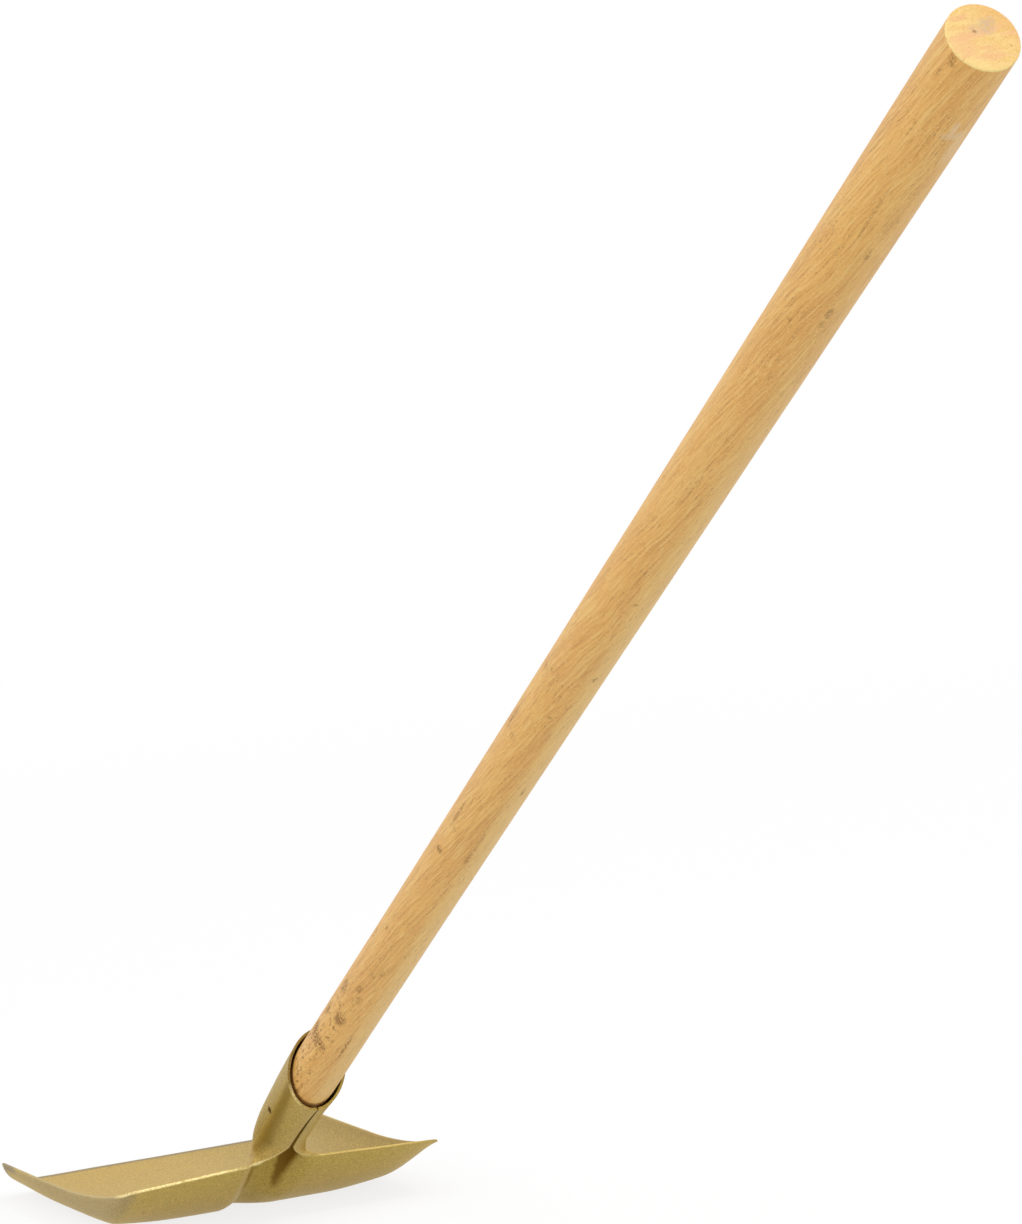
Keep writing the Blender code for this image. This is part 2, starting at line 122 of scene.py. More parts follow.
class HeadSizes(PropertyGroup):
    sheet: length("Sheet", "Thickness of the pressed steel", 0.0015)
    rear_width: length("Rear width", "Pan across its rear corners", 0.2069)
    front_width: length("Front width", "Pan across its front tips", 0.2114)
    pan_length: length("Pan length", "Shoulder line to cutting edge", 0.25)
    corner_radius: length("Corner radius", "Rear corners seen from above", 0.006)
    left_blend: number("Left corner blend", "1 for a soft corner, 2 for a tight one", 2.1)
    right_blend: number("Right corner blend", "The same for the right corner", 1.35)
    shoulder_height: length("Shoulder height", "Back wall's top edge beside the socket", 0.036)
    rear_height: length("Rear corner height", "Back wall's top edge at its corners", 0.032)
    side_height: length("Side height", "Side wall's top edge in front of its fall", 0.0205)
    side_fall: length("Side fall", "How far the side's top edge falls from the corner", 0.13)
    back_run: length("Back wall run", "Shoulder line to the back wall's foot", 0.0775)
    side_run: length("Side wall run", "Side wall's top edge to its foot", 0.0135)
    left_run: length("Left corner run", "The same at the left rear corner", 0.027)
    right_run: length("Right corner run", "The same at the right rear corner", 0.045)
    side_sweep: angle("Side sweep", "Bend of the side wall", 80)
    skew: angle("Skew", "Turn of the pan out of the socket's line", -2.84)
    shift: length("Shift", "Sideways shift of the pan from the socket's line", -0.0014)
    flat_half: length("Flat half width", "Flat of the floor each side of the middle", 0.04)
    flat_length: length("Flat length", "Flat of the floor from the crown's end", 0.035)
    front_dish: length("Front dish", "Rise of the floor at the cutting edge", 0.007)
    left_dish: length("Left dish", "Rise of the floor at its left side", 0.0055)
    right_dish: length("Right dish", "Rise of the floor at its right side", 0.0095)
    lift: angle("Lift", "Angle of the handle above the floor", 30.8)
    axis_height: length("Axis height", "Handle's axis over the shoulder line", 0.0581)
    socket_radius: length("Socket radius", "Outside of the rolled socket", 0.0175)
    mouth_flare: length("Mouth flare", "Extra radius at the mouth", 0.0013)
    mouth_middle: length("Mouth", "Middle of the mouth along the axis", 0.084)
    mouth_rake: length("Mouth rake", "The mouth is cut aslant by this each way", 0.018)
    round_end: length("Round end", "Where the socket's front starts to flatten", 0.046)
    tube_rake: length("Tube rake", "Slant of the section there", 0.005)
    tube_flattening: length("Tube flattening", "How far the front has come down there", 0.0005)
    flattening: length("Flattening", "How far the front has come down at the seam's end", 0.0064)
    seam_rake: length("Seam rake", "Slant of the section where the seam ends", 0.002)
    seam_end: length("Seam end", "Where the seam opens into two flanges", 0.01)
    mouth_gap: length("Mouth gap", "Between the rolled edges at the mouth", 0.0008)
    seam_gap: length("Seam gap", "Between the rolled edges where the seam opens", 0.0028)
    flange_flare: length("Flange flare", "Socket's side out to the flange's foot", 0.0045)
    flange_corner: length("Flange corner", "How soon the edges turn out into the flanges", 0.012)
    neck_width: share("Neck width", "Half width over the shoulder line, by the radius", 0.93)
    crown_turn: length("Crown turn", "Where the front line turns steep", 0.017)
    crown_depth: length("Crown depth", "Front line over the axis there", 0.0043)
    crown_rise: length("Crown rise", "Crown over the pan, half way down the wall", 0.014)
    crown_left: length("Crown left foot", "Crown's middle line to its left foot", 0.027)
    crown_right: length("Crown right foot", "Crown's middle line to its right foot", 0.015)
    left_narrowing: share("Left narrowing", "Share of the left foot at the crown's end", 0.85)
    right_narrowing: share("Right narrowing", "Share of the right foot at the crown's end", 0.5)
    crown_lean: length("Crown lean", "Bend to the left at the back wall's foot", 0.015)
    crown_fade: length("Crown fade", "Back wall's foot to where the crown ends", 0.0275)
    hole_along: length("Hole", "Nail hole along the axis from the shoulder line", 0.035)
    hole_angle: angle("Hole angle", "Nail hole round the socket from its front line", 96)
    hole_radius: length("Hole radius", "Nail hole", 0.0022)
    edge_round: length("Edge round", "Rounding of the sheared edges", 0.0004)
    unevenness: length("Unevenness", "Slight waves left by the press", 0.00035)
    fineness: count("Fineness", "Rows and columns for each one of the plain model", 3)


class HandleSizes(PropertyGroup):
    handle_length: length("Length", "Lower end to upper end", 1.16875)
    lower_radius: length("Lower radius", "Where it fills the socket", 0.01565)
    top_radius: length("Upper radius", "At the grip end", 0.018)
    taper_start: length("Taper start", "Where the handle starts to grow thicker", 0.27)
    grip: length("Grip", "Upper end that keeps its radius", 0.069)
    swell: number("Swell", "Above 1 the taper gains faster towards the top", 1.3)
    point_radius: length("Point radius", "Lower end inside the socket", 0.0053)
    point_end: length("Point end", "Where the lower taper reaches full width", 0.048)
    edge_round: length("Edge round", "Rounding of the upper rim", 0.0008)
    unevenness: length("Unevenness", "Slight waves left by the lathe", 0.00012)
    ring_step: length("Ring step", "Between two rings of faces", 0.005)
    columns: count("Columns", "Faces round the handle", 96)


class NailSizes(PropertyGroup):
    shank_radius: length("Shank radius", "Of the nail", 0.0018)
    nail_length: length("Length", "Under the head", 0.022)
    head_radius: length("Head radius", "Of the nail", 0.004)
    head_height: length("Head height", "Of the nail", 0.0013)
    point: length("Point", "Length of the nail's point", 0.005)
    seat: length("Seat", "Gap between the head and the socket", 0.0002)


class Finishes(PropertyGroup):
    bronze: colour("Bronze paint", "Paint on the outside of the pan", (0.54, 0.385, 0.08))
    bronze_socket: colour("Socket paint", "Thinner, on the rolled part", (0.45, 0.31, 0.068))
    # Painted dark reflection down the socket's left side
    band_dark_reflection: colour("Dark band", "Streak down the socket's left side", (0.17, 0.1, 0.006))
    bronze_inside: colour("Inside paint", "On the upper side of the pan", (0.52, 0.35, 0.096))
    # Painted glints of metal flakes, and painted shade of flakes that lie away from the light, also
    # used for scratches
    glint_fleck: colour("Bright fleck", "Metal flakes that catch the light", (0.75, 0.56, 0.16))
    shaded_fleck_and_scratch: colour("Dark fleck", "Flakes that lie away from the light", (0.24, 0.15, 0.02))
    # Rubbed paint, and also the painted highlight along the left shoulder's edge
    worn_rim_and_highlight: colour("Worn rim", "Rubbed paint along the sheared edges", (0.95, 0.79, 0.38))
    # Painted shade in the fold under the crown and on the mouth's front edge
    painted_shade: colour("Darkening", "In the fold and on the mouth's front edge", (0.22, 0.11, 0.004))
    bare_steel: colour("Bare steel", "Along the worn cutting edge", (0.17, 0.14, 0.115))
    # Painted shade on the left side wall's outside, and a greyer painted reflection along the
    # socket's left side
    left_shade_and_sheen: colour("Dull paint", "Left side wall and the socket's left", (0.335, 0.25, 0.105))
    # Painted shade over the pan's right half inside and along its right rim
    bronze_shaded: colour("Darker paint", "Right half inside, and its rim", (0.355, 0.24, 0.07))
    paint_metallic: share("Paint metallic", "Share of metal flake in the paint", 0.35)
    paint_roughness: share("Paint roughness", "Of the metal flake", 0.42)
    paint_clear: share("Clear coat", "Gloss over the paint", 0.08)
    wood: colour("Wood", "Main tone of the handle", (0.84, 0.46, 0.12))
    wood_tan: colour("Tan wood", "Broad zones of a browner tone", (0.79, 0.415, 0.108))
    wood_light: colour("Light wood", "Bright lines in the grain", (0.9, 0.58, 0.2))
    wood_pale: colour("Pale wood", "Yellower side of the handle, and glints", (0.89, 0.61, 0.21))
    wood_dark: colour("Dark wood", "Streaks in the grain", (0.6, 0.29, 0.07))
    wood_pore: colour("Pores", "Short open pores, and the pith", (0.36, 0.18, 0.055))
    wood_smear: colour("Pale smear", "Rubbed patch near the upper end", (0.86, 0.68, 0.46))
    wood_end: colour("End grain", "Sawn end of the handle", (0.87, 0.55, 0.18))
    wood_end_tan: colour("Tan end grain", "Upper part of the sawn end", (0.82, 0.46, 0.14))
    wood_end_light: colour("Light end grain", "Torn fibres on the sawn end", (0.95, 0.7, 0.28))
    wood_rim: colour("End rim", "Torn rim of the sawn end", (0.97, 0.77, 0.3))
    wood_pink: colour("Pink end grain", "Clouds on the sawn end", (0.88, 0.47, 0.23))
    wood_grey: colour("Grey end grain", "Smudges round the pith", (0.5, 0.38, 0.34))
    # Also painted shade on the handle where it goes into the socket's mouth
    grime_and_mouth_shade: colour("Grime", "Scuffs and dirt on the wood", (0.2, 0.068, 0.01))
    grain_slant: share("Grain slant", "Way of the grain round the handle, per length of it", 0.13)
    nail: colour("Nail iron", "Head of the nail", (0.24, 0.22, 0.19))
    nail_rust: colour("Rust", "On the nail's head", (0.2, 0.09, 0.035))


class Studio(PropertyGroup):
    camera_place: position("Camera", "Where the camera stands", (-1.2521, -3.3884, 0.6419))
    camera_turn: angle("Camera turn", "From +Y towards +X", 23.83)
    camera_dip: angle("Camera dip", "Below the horizon", 4.69)
    camera_roll: angle("Camera roll", "Round its own line of sight", 6.25)
    lens: number("Lens", "Focal length in mm on a 36 mm long side", 170.32)
    sky: number("Sky", "Strength of the soft light from all round", 1.0)
    bounce: share("Floor bounce", "How much light the floor throws back", 0.62)
    key_power: number("Key power", "Of the overhead soft box, in watts", 20.0)
    key_size: length("Key size", "Side of its square", 0.5)
    key_place: position("Key place", "Where it hangs", (1.6, -1.5, 3.7))
    key_target: position("Key target", "What it is turned to", (0.0, -0.3, 0.2))
    fill_power: number("Fill power", "Of the soft box beside the camera, in watts", 8.0)
    fill_size: length("Fill size", "Side of its square", 1.6)
    fill_place: position("Fill place", "Where it stands", (-2.2, -2.8, 1.6))
    fill_target: position("Fill target", "What it is turned to", (0.0, -0.5, 0.3))


def blend(a, b, part):
    return a + (b - a) * part


def smooth(part):
    part = min(max(part, 0.0), 1.0)
    return part * part * (3 - 2 * part)


def cubic(corners, part):
    """The point at a share of a cubic curve from the first to the last of four corners."""
    rest = 1 - part
    weights = (rest**3, 3 * rest**2 * part, 3 * rest * part**2, part**3)
    return sum((corner * weight for corner, weight in zip(corners, weights)), Vector())


class Axis:
    """The handle's line through the rolled socket."""

    def __init__(self, head):
        lift = head.lift
        self.along = Vector((0.0, -math.cos(lift), math.sin(lift)))
        self.front = Vector((0.0, math.sin(lift), math.cos(lift)))
        self.foot = Vector((0.0, -shoulder_offset(head), head.axis_height))

    def point(self, along, front=0.0):
        return self.foot + self.along * along + self.front * front


def shoulder_offset(head):
    """From the origin, in the middle of the flat underside, back to the shoulder line."""
    return head.back_run + head.crown_fade + head.flat_length / 2


class PanShape:
    """Heights of the middle of the sheet, with y measured from the shoulder line."""

    def __init__(self, head):
        self.head = head
        self.flange_foot = head.socket_radius + head.flange_flare
        self.flat_start = head.back_run + head.crown_fade
        self.flat_end = self.flat_start + head.flat_length

    def half_width(self, y):
        return blend(self.head.rear_width, self.head.front_width, y / self.head.pan_length) / 2

    def rear_share(self, y):
        """From 1 at the rear corner to 0 where the side wall's fall ends, in a curve."""
        return max(0.0, 1 - y / self.head.side_fall)**2

    def side_top(self, y):
        return blend(self.head.side_height, self.head.rear_height, self.rear_share(y))

    def side_run(self, x, y):
        corner = self.head.right_run if x > 0 else self.head.left_run
        return blend(self.head.side_run, corner, self.rear_share(y))

    def floor(self, x, y):
        """Flat in the middle and dished towards the sides and the cutting edge."""
        head = self.head
        out = max(0.0, abs(x) - head.flat_half) / (head.front_width / 2 - head.flat_half)
        forward = max(0.0, y - self.flat_end) / (head.pan_length - self.flat_end)
        side_dish = head.right_dish if x > 0 else head.left_dish
        return blend(side_dish * min(out, 1.0)**2, head.front_dish, min(forward, 1.0)**2)

    def back(self, x, y):
        """Back wall over the floor: a hollow sweep down from the shoulder line."""
        head = self.head
        out = (abs(x) - self.flange_foot) / (head.rear_width / 2 - self.flange_foot)
        top = blend(head.shoulder_height, head.rear_height, out) - self.floor(x, 0.0)
        return top * max(0.0, 1 - y / head.back_run)**2

    def wall_share(self, x, y):
        """The side wall's rise, from 0 at its foot to 1 at its top edge, round the bend."""
        sweep = self.head.side_sweep
        run = max(0.0, abs(x) - self.half_width(y) + self.side_run(x, y)) / self.side_run(x, y)
        turned = math.asin(min(run, 1.0) * math.sin(sweep))
        return (1 - math.cos(turned)) / (1 - math.cos(sweep))

    def height(self, x, y):
        """Back wall and side wall run into each other over the floor."""
        power = self.head.right_blend if x > 0 else self.head.left_blend
        edge = math.copysign(self.half_width(y), x)
        full = self.side_top(y) - self.floor(edge, y)
        side = max(0.0, full**power - self.back(edge, y)**power)**(1 / power)
        side *= self.wall_share(x, y)
        rise = (self.back(x, y)**power + side**power)**(1 / power)
        return self.head.sheet / 2 + self.floor(x, y) + rise

    def wing(self, edge, side, floor_columns, wall_columns):
        """Points from the strip's edge out to one side wall's top edge, in one row across."""
        head = self.head
        run = self.side_run(side, edge.y)
        foot = self.half_width(edge.y) - run
        places = [blend(edge.x, foot, column / floor_columns)
                  for column in range(1, floor_columns + 1)]
        for column in range(1, wall_columns + 1):
            sweep = head.side_sweep * column / wall_columns
            places.append(foot + run * math.sin(sweep) / math.sin(head.side_sweep))
        points = []
        for x in places:
            into = min(max(0.0, x - head.rear_width / 2 + head.corner_radius), head.corner_radius)
            pull = head.corner_radius - math.sqrt(head.corner_radius**2 - into**2)
            y = edge.y + pull * max(0.0, 1 - edge.y / head.back_run)
            points.append(Vector((x * side, y, self.height(x * side, y))))
        return points


class Section:
    """Half of a cross-section of the socket or the crown: front line, side and edge."""

    def __init__(self, front, front_reach, side, side_rise, side_fall, edge, edge_reach):
        self.values = [front, ACROSS * front_reach, side, side_rise, side_fall, edge, edge_reach]
        self.edge = edge

    def point(self, part):
        """The point at a share from 0 on the front line to 1 on the edge."""
        front, front_reach, side, rise, fall, edge, edge_reach = self.values
        if part <= 0.5:
            return cubic((front, front + front_reach, side + rise, side), part * 2)
        return cubic((side, side + fall, edge + edge_reach, edge), part * 2 - 1)


def between(before, start, end, after, part):
    """The section on a smooth curve through four neighbouring sections."""
    values = []
    for p0, p1, p2, p3 in zip(before.values, start.values, end.values, after.values):
        bend = 2 * p0 - 5 * p1 + 4 * p2 - p3
        twist = 3 * p1 - p0 - 3 * p2 + p3
        values.append(p1 + (p2 - p0 + (bend + twist * part) * part) * (part / 2))
    values[1] = values[1].x
    return Section(*values)


class HeadShape:
    """The pressed sheet's middle surface: one strip from mouth to cutting edge, and two wings."""

    STRIP_COLUMNS = 14
    TUBE_ROWS = 6
    OPENING_ROWS = 7
    CROWN_ROWS = 5
    CROWN_STEPS = 4
    FADE_ROWS = 3
    FLOOR_ROWS = 12
    WALL_COLUMNS = 7
    FLOOR_COLUMNS = 6

    # Shares that shape the section over the shoulder line and the crown's sections
    NECK_HEIGHT = 0.45
    NECK_CREST = 0.5
    NECK_FORE = 0.25
    NECK_RISE = 0.48
    NECK_FALL = 0.28
    FLANGE_RUN = 0.2
    FLANGE_DROP = 0.05
    CROWN_START = 0.48
    CREST_REACH = 0.18
    FLANK = 0.45
    FLANK_REACH = 0.25
    FLANK_SLOPE = 0.6
    FOOT_REACH = 0.2

    def __init__(self, head):
        self.head = head
        self.pan = PanShape(head)
        self.axis = Axis(head)
        self.offset = Vector((0.0, -shoulder_offset(head), 0.0))
        self.sheet_radius = head.socket_radius - head.sheet / 2

    def local(self, along, front=0.0):
        """A point on the axis, with y measured from the shoulder line."""
        return self.axis.point(along, front) - self.offset

    def round_section(self, along, radius, flattening, rake, gap):
        """A section of the rolled socket, cut aslant by its rake along the axis."""
        up = self.axis.front + self.axis.along * (rake / radius)
        middle = self.local(along)
        reach = QUARTER * radius
        seam = ACROSS * (gap / 2)
        front = radius - flattening
        return Section(middle + up * front, reach,
                       middle + ACROSS * radius, up * (QUARTER * front), up * -reach,
                       middle - up * radius + seam, ACROSS * reach - seam)

    def shoulder_section(self):
        """The section where the opened socket stands on the shoulder line."""
        head = self.head
        foot = self.pan.flange_foot
        width = self.sheet_radius * head.neck_width
        front = self.local(-head.crown_turn, head.crown_depth)
        height = blend(head.shoulder_height, head.axis_height, self.NECK_HEIGHT)
        edge = Vector((foot, 0.0, self.pan.height(foot, 0.0)))
        up = self.axis.front
        return Section(front, width * self.NECK_CREST,
                       Vector((width, front.y * self.NECK_FORE, height)),
                       up * (width * self.NECK_RISE), up * (width * -self.NECK_FALL),
                       edge, Vector((-self.FLANGE_RUN, 0.0, self.FLANGE_DROP)) * foot)

    def crown_section(self, y, rise, foot):
        """A section of the crown, which carries the socket's front down into the pan."""
        height = self.pan.height
        edge = Vector((foot, y, height(foot, y)))
        front = Vector((0.0, y, height(0.0, y) + rise))
        flank = Vector((foot * self.FLANK, y, height(foot, y) + rise * self.FLANK))
        lean = Vector((foot * self.FLANK_SLOPE, 0.0, -rise)) * self.FLANK_REACH
        return Section(front, foot * self.CREST_REACH, flank, -lean, lean,
                       edge, ACROSS * (-foot * self.FOOT_REACH))

    def stations(self, side):
        """One side's half sections, each with its rows up to the next and its share of the skew."""
        head = self.head
        fine = head.fineness
        radius = self.sheet_radius
        mouth = self.round_section(head.mouth_middle, radius + head.mouth_flare, 0.0,
                                   head.mouth_rake, head.mouth_gap)
        tube = self.round_section(head.round_end, radius, head.tube_flattening, head.tube_rake,
                                  (head.mouth_gap + head.seam_gap) / 2)
        opening = self.round_section(head.seam_end, radius, head.flattening, head.seam_rake,
                                     head.seam_gap)
        stations = [(mouth, self.TUBE_ROWS * fine, 0.0), (tube, self.TUBE_ROWS * fine, 0.0),
                    (opening, self.OPENING_ROWS * fine, 0.0),
                    (self.shoulder_section(), self.CROWN_ROWS * fine, 1.0)]
        foot, narrowing = head.crown_left, head.left_narrowing
        if side > 0:
            foot, narrowing = head.crown_right, head.right_narrowing
        for step in range(self.CROWN_STEPS + 1):
            part = step / self.CROWN_STEPS
            y = blend(head.back_run * self.CROWN_START, self.pan.flat_start, part)
            section = self.crown_section(y, head.crown_rise * (1 - part)**2,
                                         foot * blend(1.0, narrowing, part))
            stations.append((section, self.FADE_ROWS * fine, 1.0))
        return stations

    def leaned(self, point, foot):
        """Bends a point of the crown to the left and leaves the crown's feet where they are."""
        head = self.head
        rise = smooth(point.y / head.back_run)
        rise *= 1 - smooth((point.y - head.back_run) / head.crown_fade)
        shift = head.crown_lean * rise * max(0.0, 1 - abs(point.x) / foot)
        return Vector((point.x - shift, point.y, point.z))

    def flange_edge(self, start, end, part):
        """The rim of a flange, from where the seam opens out to its foot on the shoulder line."""
        leaving = start - self.axis.along * (self.head.flange_corner / 3)
        arriving = end - ACROSS * (end.x / 2)
        return cubic((start, leaving, arriving, end), part)

    def rows(self, side):
        """Half rows down one side of the strip, each with its skew and whether it is in the pan."""
        columns = self.STRIP_COLUMNS * self.head.fineness
        stations = self.stations(side)
        half_rows = []
        for index, (section, rows, turn) in enumerate(stations[:-1]):
            before = stations[max(index - 1, 0)][0]
            following, _, next_turn = stations[index + 1]
            after = stations[min(index + 2, len(stations) - 1)][0]
            in_pan = turn == 1.0
            for step in range(rows):
                part = step / rows
                current = between(before, section, following, after, part)
                if in_pan:
                    current.edge.z = self.pan.height(current.edge.x, current.edge.y)
                elif next_turn == 1.0:
                    current.edge.xyz = self.flange_edge(section.edge, following.edge, part)
                else:
                    current.edge.x = blend(section.edge.x, following.edge.x, part)
                points = [current.point(column / columns) for column in range(columns + 1)]
                half_rows.append((points, smooth(blend(turn, next_turn, part)), in_pan))
        foot = stations[-1][0].edge.x
        floor_rows = self.FLOOR_ROWS * self.head.fineness
        for step in range(floor_rows + 1):
            y = blend(self.pan.flat_start, self.head.pan_length, step / floor_rows)
            places = [foot * column / columns for column in range(columns + 1)]
            half_rows.append(([Vector((x, y, self.pan.height(x, y))) for x in places], 1.0, True))
        return half_rows

    def place(self, point, turn):
        """Turns a point of the pan out of the socket's line and moves it to the row frame."""
        turned = Matrix.Rotation(self.head.skew, 3, 'Z') @ point + ACROSS * self.head.shift
        return point.lerp(turned, turn) + self.offset

    def mesh(self):
        fine = self.head.fineness
        counts = self.FLOOR_COLUMNS * fine, self.WALL_COLUMNS * fine
        mesh = bmesh.new()
        rows = []
        for left_half, right_half in zip(self.rows(-1), self.rows(1)):
            left = [Vector((-point.x, point.y, point.z)) for point in left_half[0]]
            right, turn, in_pan = right_half
            if in_pan:
                left_edge, right_edge = left_half[0][-1], right[-1]
                left = [self.leaned(point, left_edge.x) for point in left]
                right = [self.leaned(point, right_edge.x) for point in right]
                left += self.pan.wing(left_edge, -1, *counts)
                right += self.pan.wing(right_edge, 1, *counts)
            points = left[:0:-1] + right
            rows.append([mesh.verts.new(self.place(point, turn)) for point in points])
        for upper, lower in zip(rows, rows[1:]):
            inset = (len(lower) - len(upper)) // 2
            for column in range(len(upper) - 1):
                below = column + inset
                mesh.faces.new((upper[column], upper[column + 1], lower[below + 1], lower[below]))
        return mesh


def roughen(mesh, amount, size):
    """Moves points along their normals by slow noise, and keeps them in the mesh's first box."""
    ripple, ripple_size = 0.4, size * 0.37
    mesh.normal_update()
    low = [min(vert.co[axis] for vert in mesh.verts) for axis in range(3)]
    high = [max(vert.co[axis] for vert in mesh.verts) for axis in range(3)]
    for vert in mesh.verts:
        wave = noise.noise(vert.co / size) + ripple * noise.noise(vert.co / ripple_size)
        moved = vert.co + vert.normal * (wave * amount)
        vert.co = [min(max(moved[axis], low[axis]), high[axis]) for axis in range(3)]


def border_points(mesh, steps):
    """Points all along the open edges of a sheet."""
    points = []
    for edge in mesh.edges:
        if edge.is_boundary:
            start, end = edge.verts
            points += [start.co.lerp(end.co, step / steps) for step in range(steps)]
    return points


def mark_rim(thing, points):
    """Keeps each vertex's distance from the sheared border as its attribute 'rim'."""
    tree = KDTree(len(points))
    for index, point in enumerate(points):
        tree.insert(point, index)
    tree.balance()
    distances = [min(tree.find(vert.co)[2], RIM_REACH) for vert in thing.data.vertices]
    thing.data.attributes.new('rim', 'FLOAT', 'POINT').data.foreach_set('value', distances)


def new_object(name, mesh):
    data = bpy.data.meshes.new(name)
    mesh.normal_update()
    mesh.to_mesh(data)
    mesh.free()
    thing = bpy.data.objects.new(name, data)
    bpy.context.scene.collection.objects.link(thing)
    return thing


def settle(thing):
    """Applies an object's modifiers to its mesh."""
    depsgraph = bpy.context.evaluated_depsgraph_get()
    data = bpy.data.meshes.new_from_object(thing.evaluated_get(depsgraph))
    old = thing.data
    thing.modifiers.clear()
    thing.data = data
    data.name = thing.name
    bpy.data.meshes.remove(old)


def quarter_turn(steps):
    """Sine and cosine at even steps from none to a quarter turn."""
    turns = [math.pi / 2 * step / steps for step in range(steps + 1)]
    return [(math.sin(turn), math.cos(turn)) for turn in turns]


def turn_profile(mesh, profile, columns):
    """Faces for (radius, height) pairs turned round Z, with closed ends."""
    rings = []
    for radius, height in profile:
        ring = []
        for column in range(columns):
            turn = 2 * math.pi * column / columns
            ring.append(mesh.verts.new((radius * math.cos(turn), radius * math.sin(turn), height)))
        rings.append(ring)
    for upper, lower in zip(rings, rings[1:]):
        for column in range(columns):
            beside = (column + 1) % columns
            mesh.faces.new((upper[beside], upper[column], lower[column], lower[beside]))
    mesh.faces.new(rings[0])
    mesh.faces.new(rings[-1][::-1])


def stand(place, z_axis, x_axis):
    """The matrix that puts an object's own Z and X along two directions at a place."""
    z_axis = z_axis.normalized()
    y_axis = z_axis.cross(x_axis).normalized()
    x_axis = y_axis.cross(z_axis)
    turn = Matrix((x_axis, y_axis, z_axis)).transposed()
    return Matrix.Translation(place) @ turn.to_4x4()


def handle_frame(head):
    """Stands at the handle's lower end, with Z up the handle and X towards its worn side."""
    axis = Axis(head)
    worn_side = ACROSS * WORN_SIDE[0] + axis.front * WORN_SIDE[1]
    return stand(axis.point(head.seam_end), axis.along, worn_side)


def nail_frame(head, side):
    """Stands on the axis at the nail, with Z out through the hole on one side."""
    axis = Axis(head)
    out = ACROSS * (side * math.sin(head.hole_angle)) + axis.front * math.cos(head.hole_angle)
    return stand(axis.point(head.hole_along), out, axis.along)


def drill(thing, head, side):
    """Cuts one nail hole through the socket's wall."""
    columns = 32
    mesh = bmesh.new()
    outer = head.socket_radius + 2 * head.sheet
    inner = head.socket_radius - 3 * head.sheet
    turn_profile(mesh, [(head.hole_radius, outer), (head.hole_radius, inner)], columns)
    drill_bit = new_object('drill', mesh)
    drill_bit.matrix_world = nail_frame(head, side)
    bpy.context.view_layer.update()
    boolean = thing.modifiers.new('Nail hole', 'BOOLEAN')
    boolean.operation = 'DIFFERENCE'
    boolean.solver = 'EXACT'
    boolean.object = drill_bit
    settle(thing)
    data = drill_bit.data
    bpy.data.objects.remove(drill_bit)
    bpy.data.meshes.remove(data)


def shade_smooth(thing, crease):
    """Smooth shading, but for the edges where faces meet at more than the crease angle."""
    thing.data.shade_smooth()
    thing.data.set_sharp_from_angle(angle=crease)


def round_edges(thing, width, steps):
    """Rounds every edge where two faces meet at a steep angle."""
    mesh = bmesh.new()
    mesh.from_mesh(thing.data)
    edges = [edge for edge in mesh.edges
             if len(edge.link_faces) == 2 and edge.calc_face_angle(0.0) > STEEP]
    bmesh.ops.bevel(mesh, geom=edges, offset=width, segments=steps, profile=0.5,
                    affect='EDGES', clamp_overlap=True)
    mesh.to_mesh(thing.data)
    mesh.free()
    shade_smooth(thing, CREASE)


def both_ways(operation):
    """A signal's method for an arithmetic operator, and the one for its reflected form."""
    def forward(self, other):
        return self.math(operation, self, other)

    def reflected(self, other):
        return self.math(operation, other, self)

    return forward, reflected


class Signal:
    """A node's output, which takes part in Python arithmetic."""

    def __init__(self, finish, output):
        self.finish = finish
        self.output = output

    def math(self, operation, *values):
        return self.finish.node('ShaderNodeMath', {'operation': operation}, dict(enumerate(values)))

    __add__, __radd__ = both_ways('ADD')
    __sub__, __rsub__ = both_ways('SUBTRACT')
    __mul__, __rmul__ = both_ways('MULTIPLY')

    def larger(self, other):
        """The larger of two signals."""
        return self.math('MAXIMUM', self, other)

    def ramp(self, low, high):
        """From 0 at low to 1 at high, in a smooth step; low may be above high."""
        settings = {'interpolation_type': 'SMOOTHSTEP'}
        return self.finish.node('ShaderNodeMapRange', settings,
                                {'Value': self, 'From Min': low, 'From Max': high})


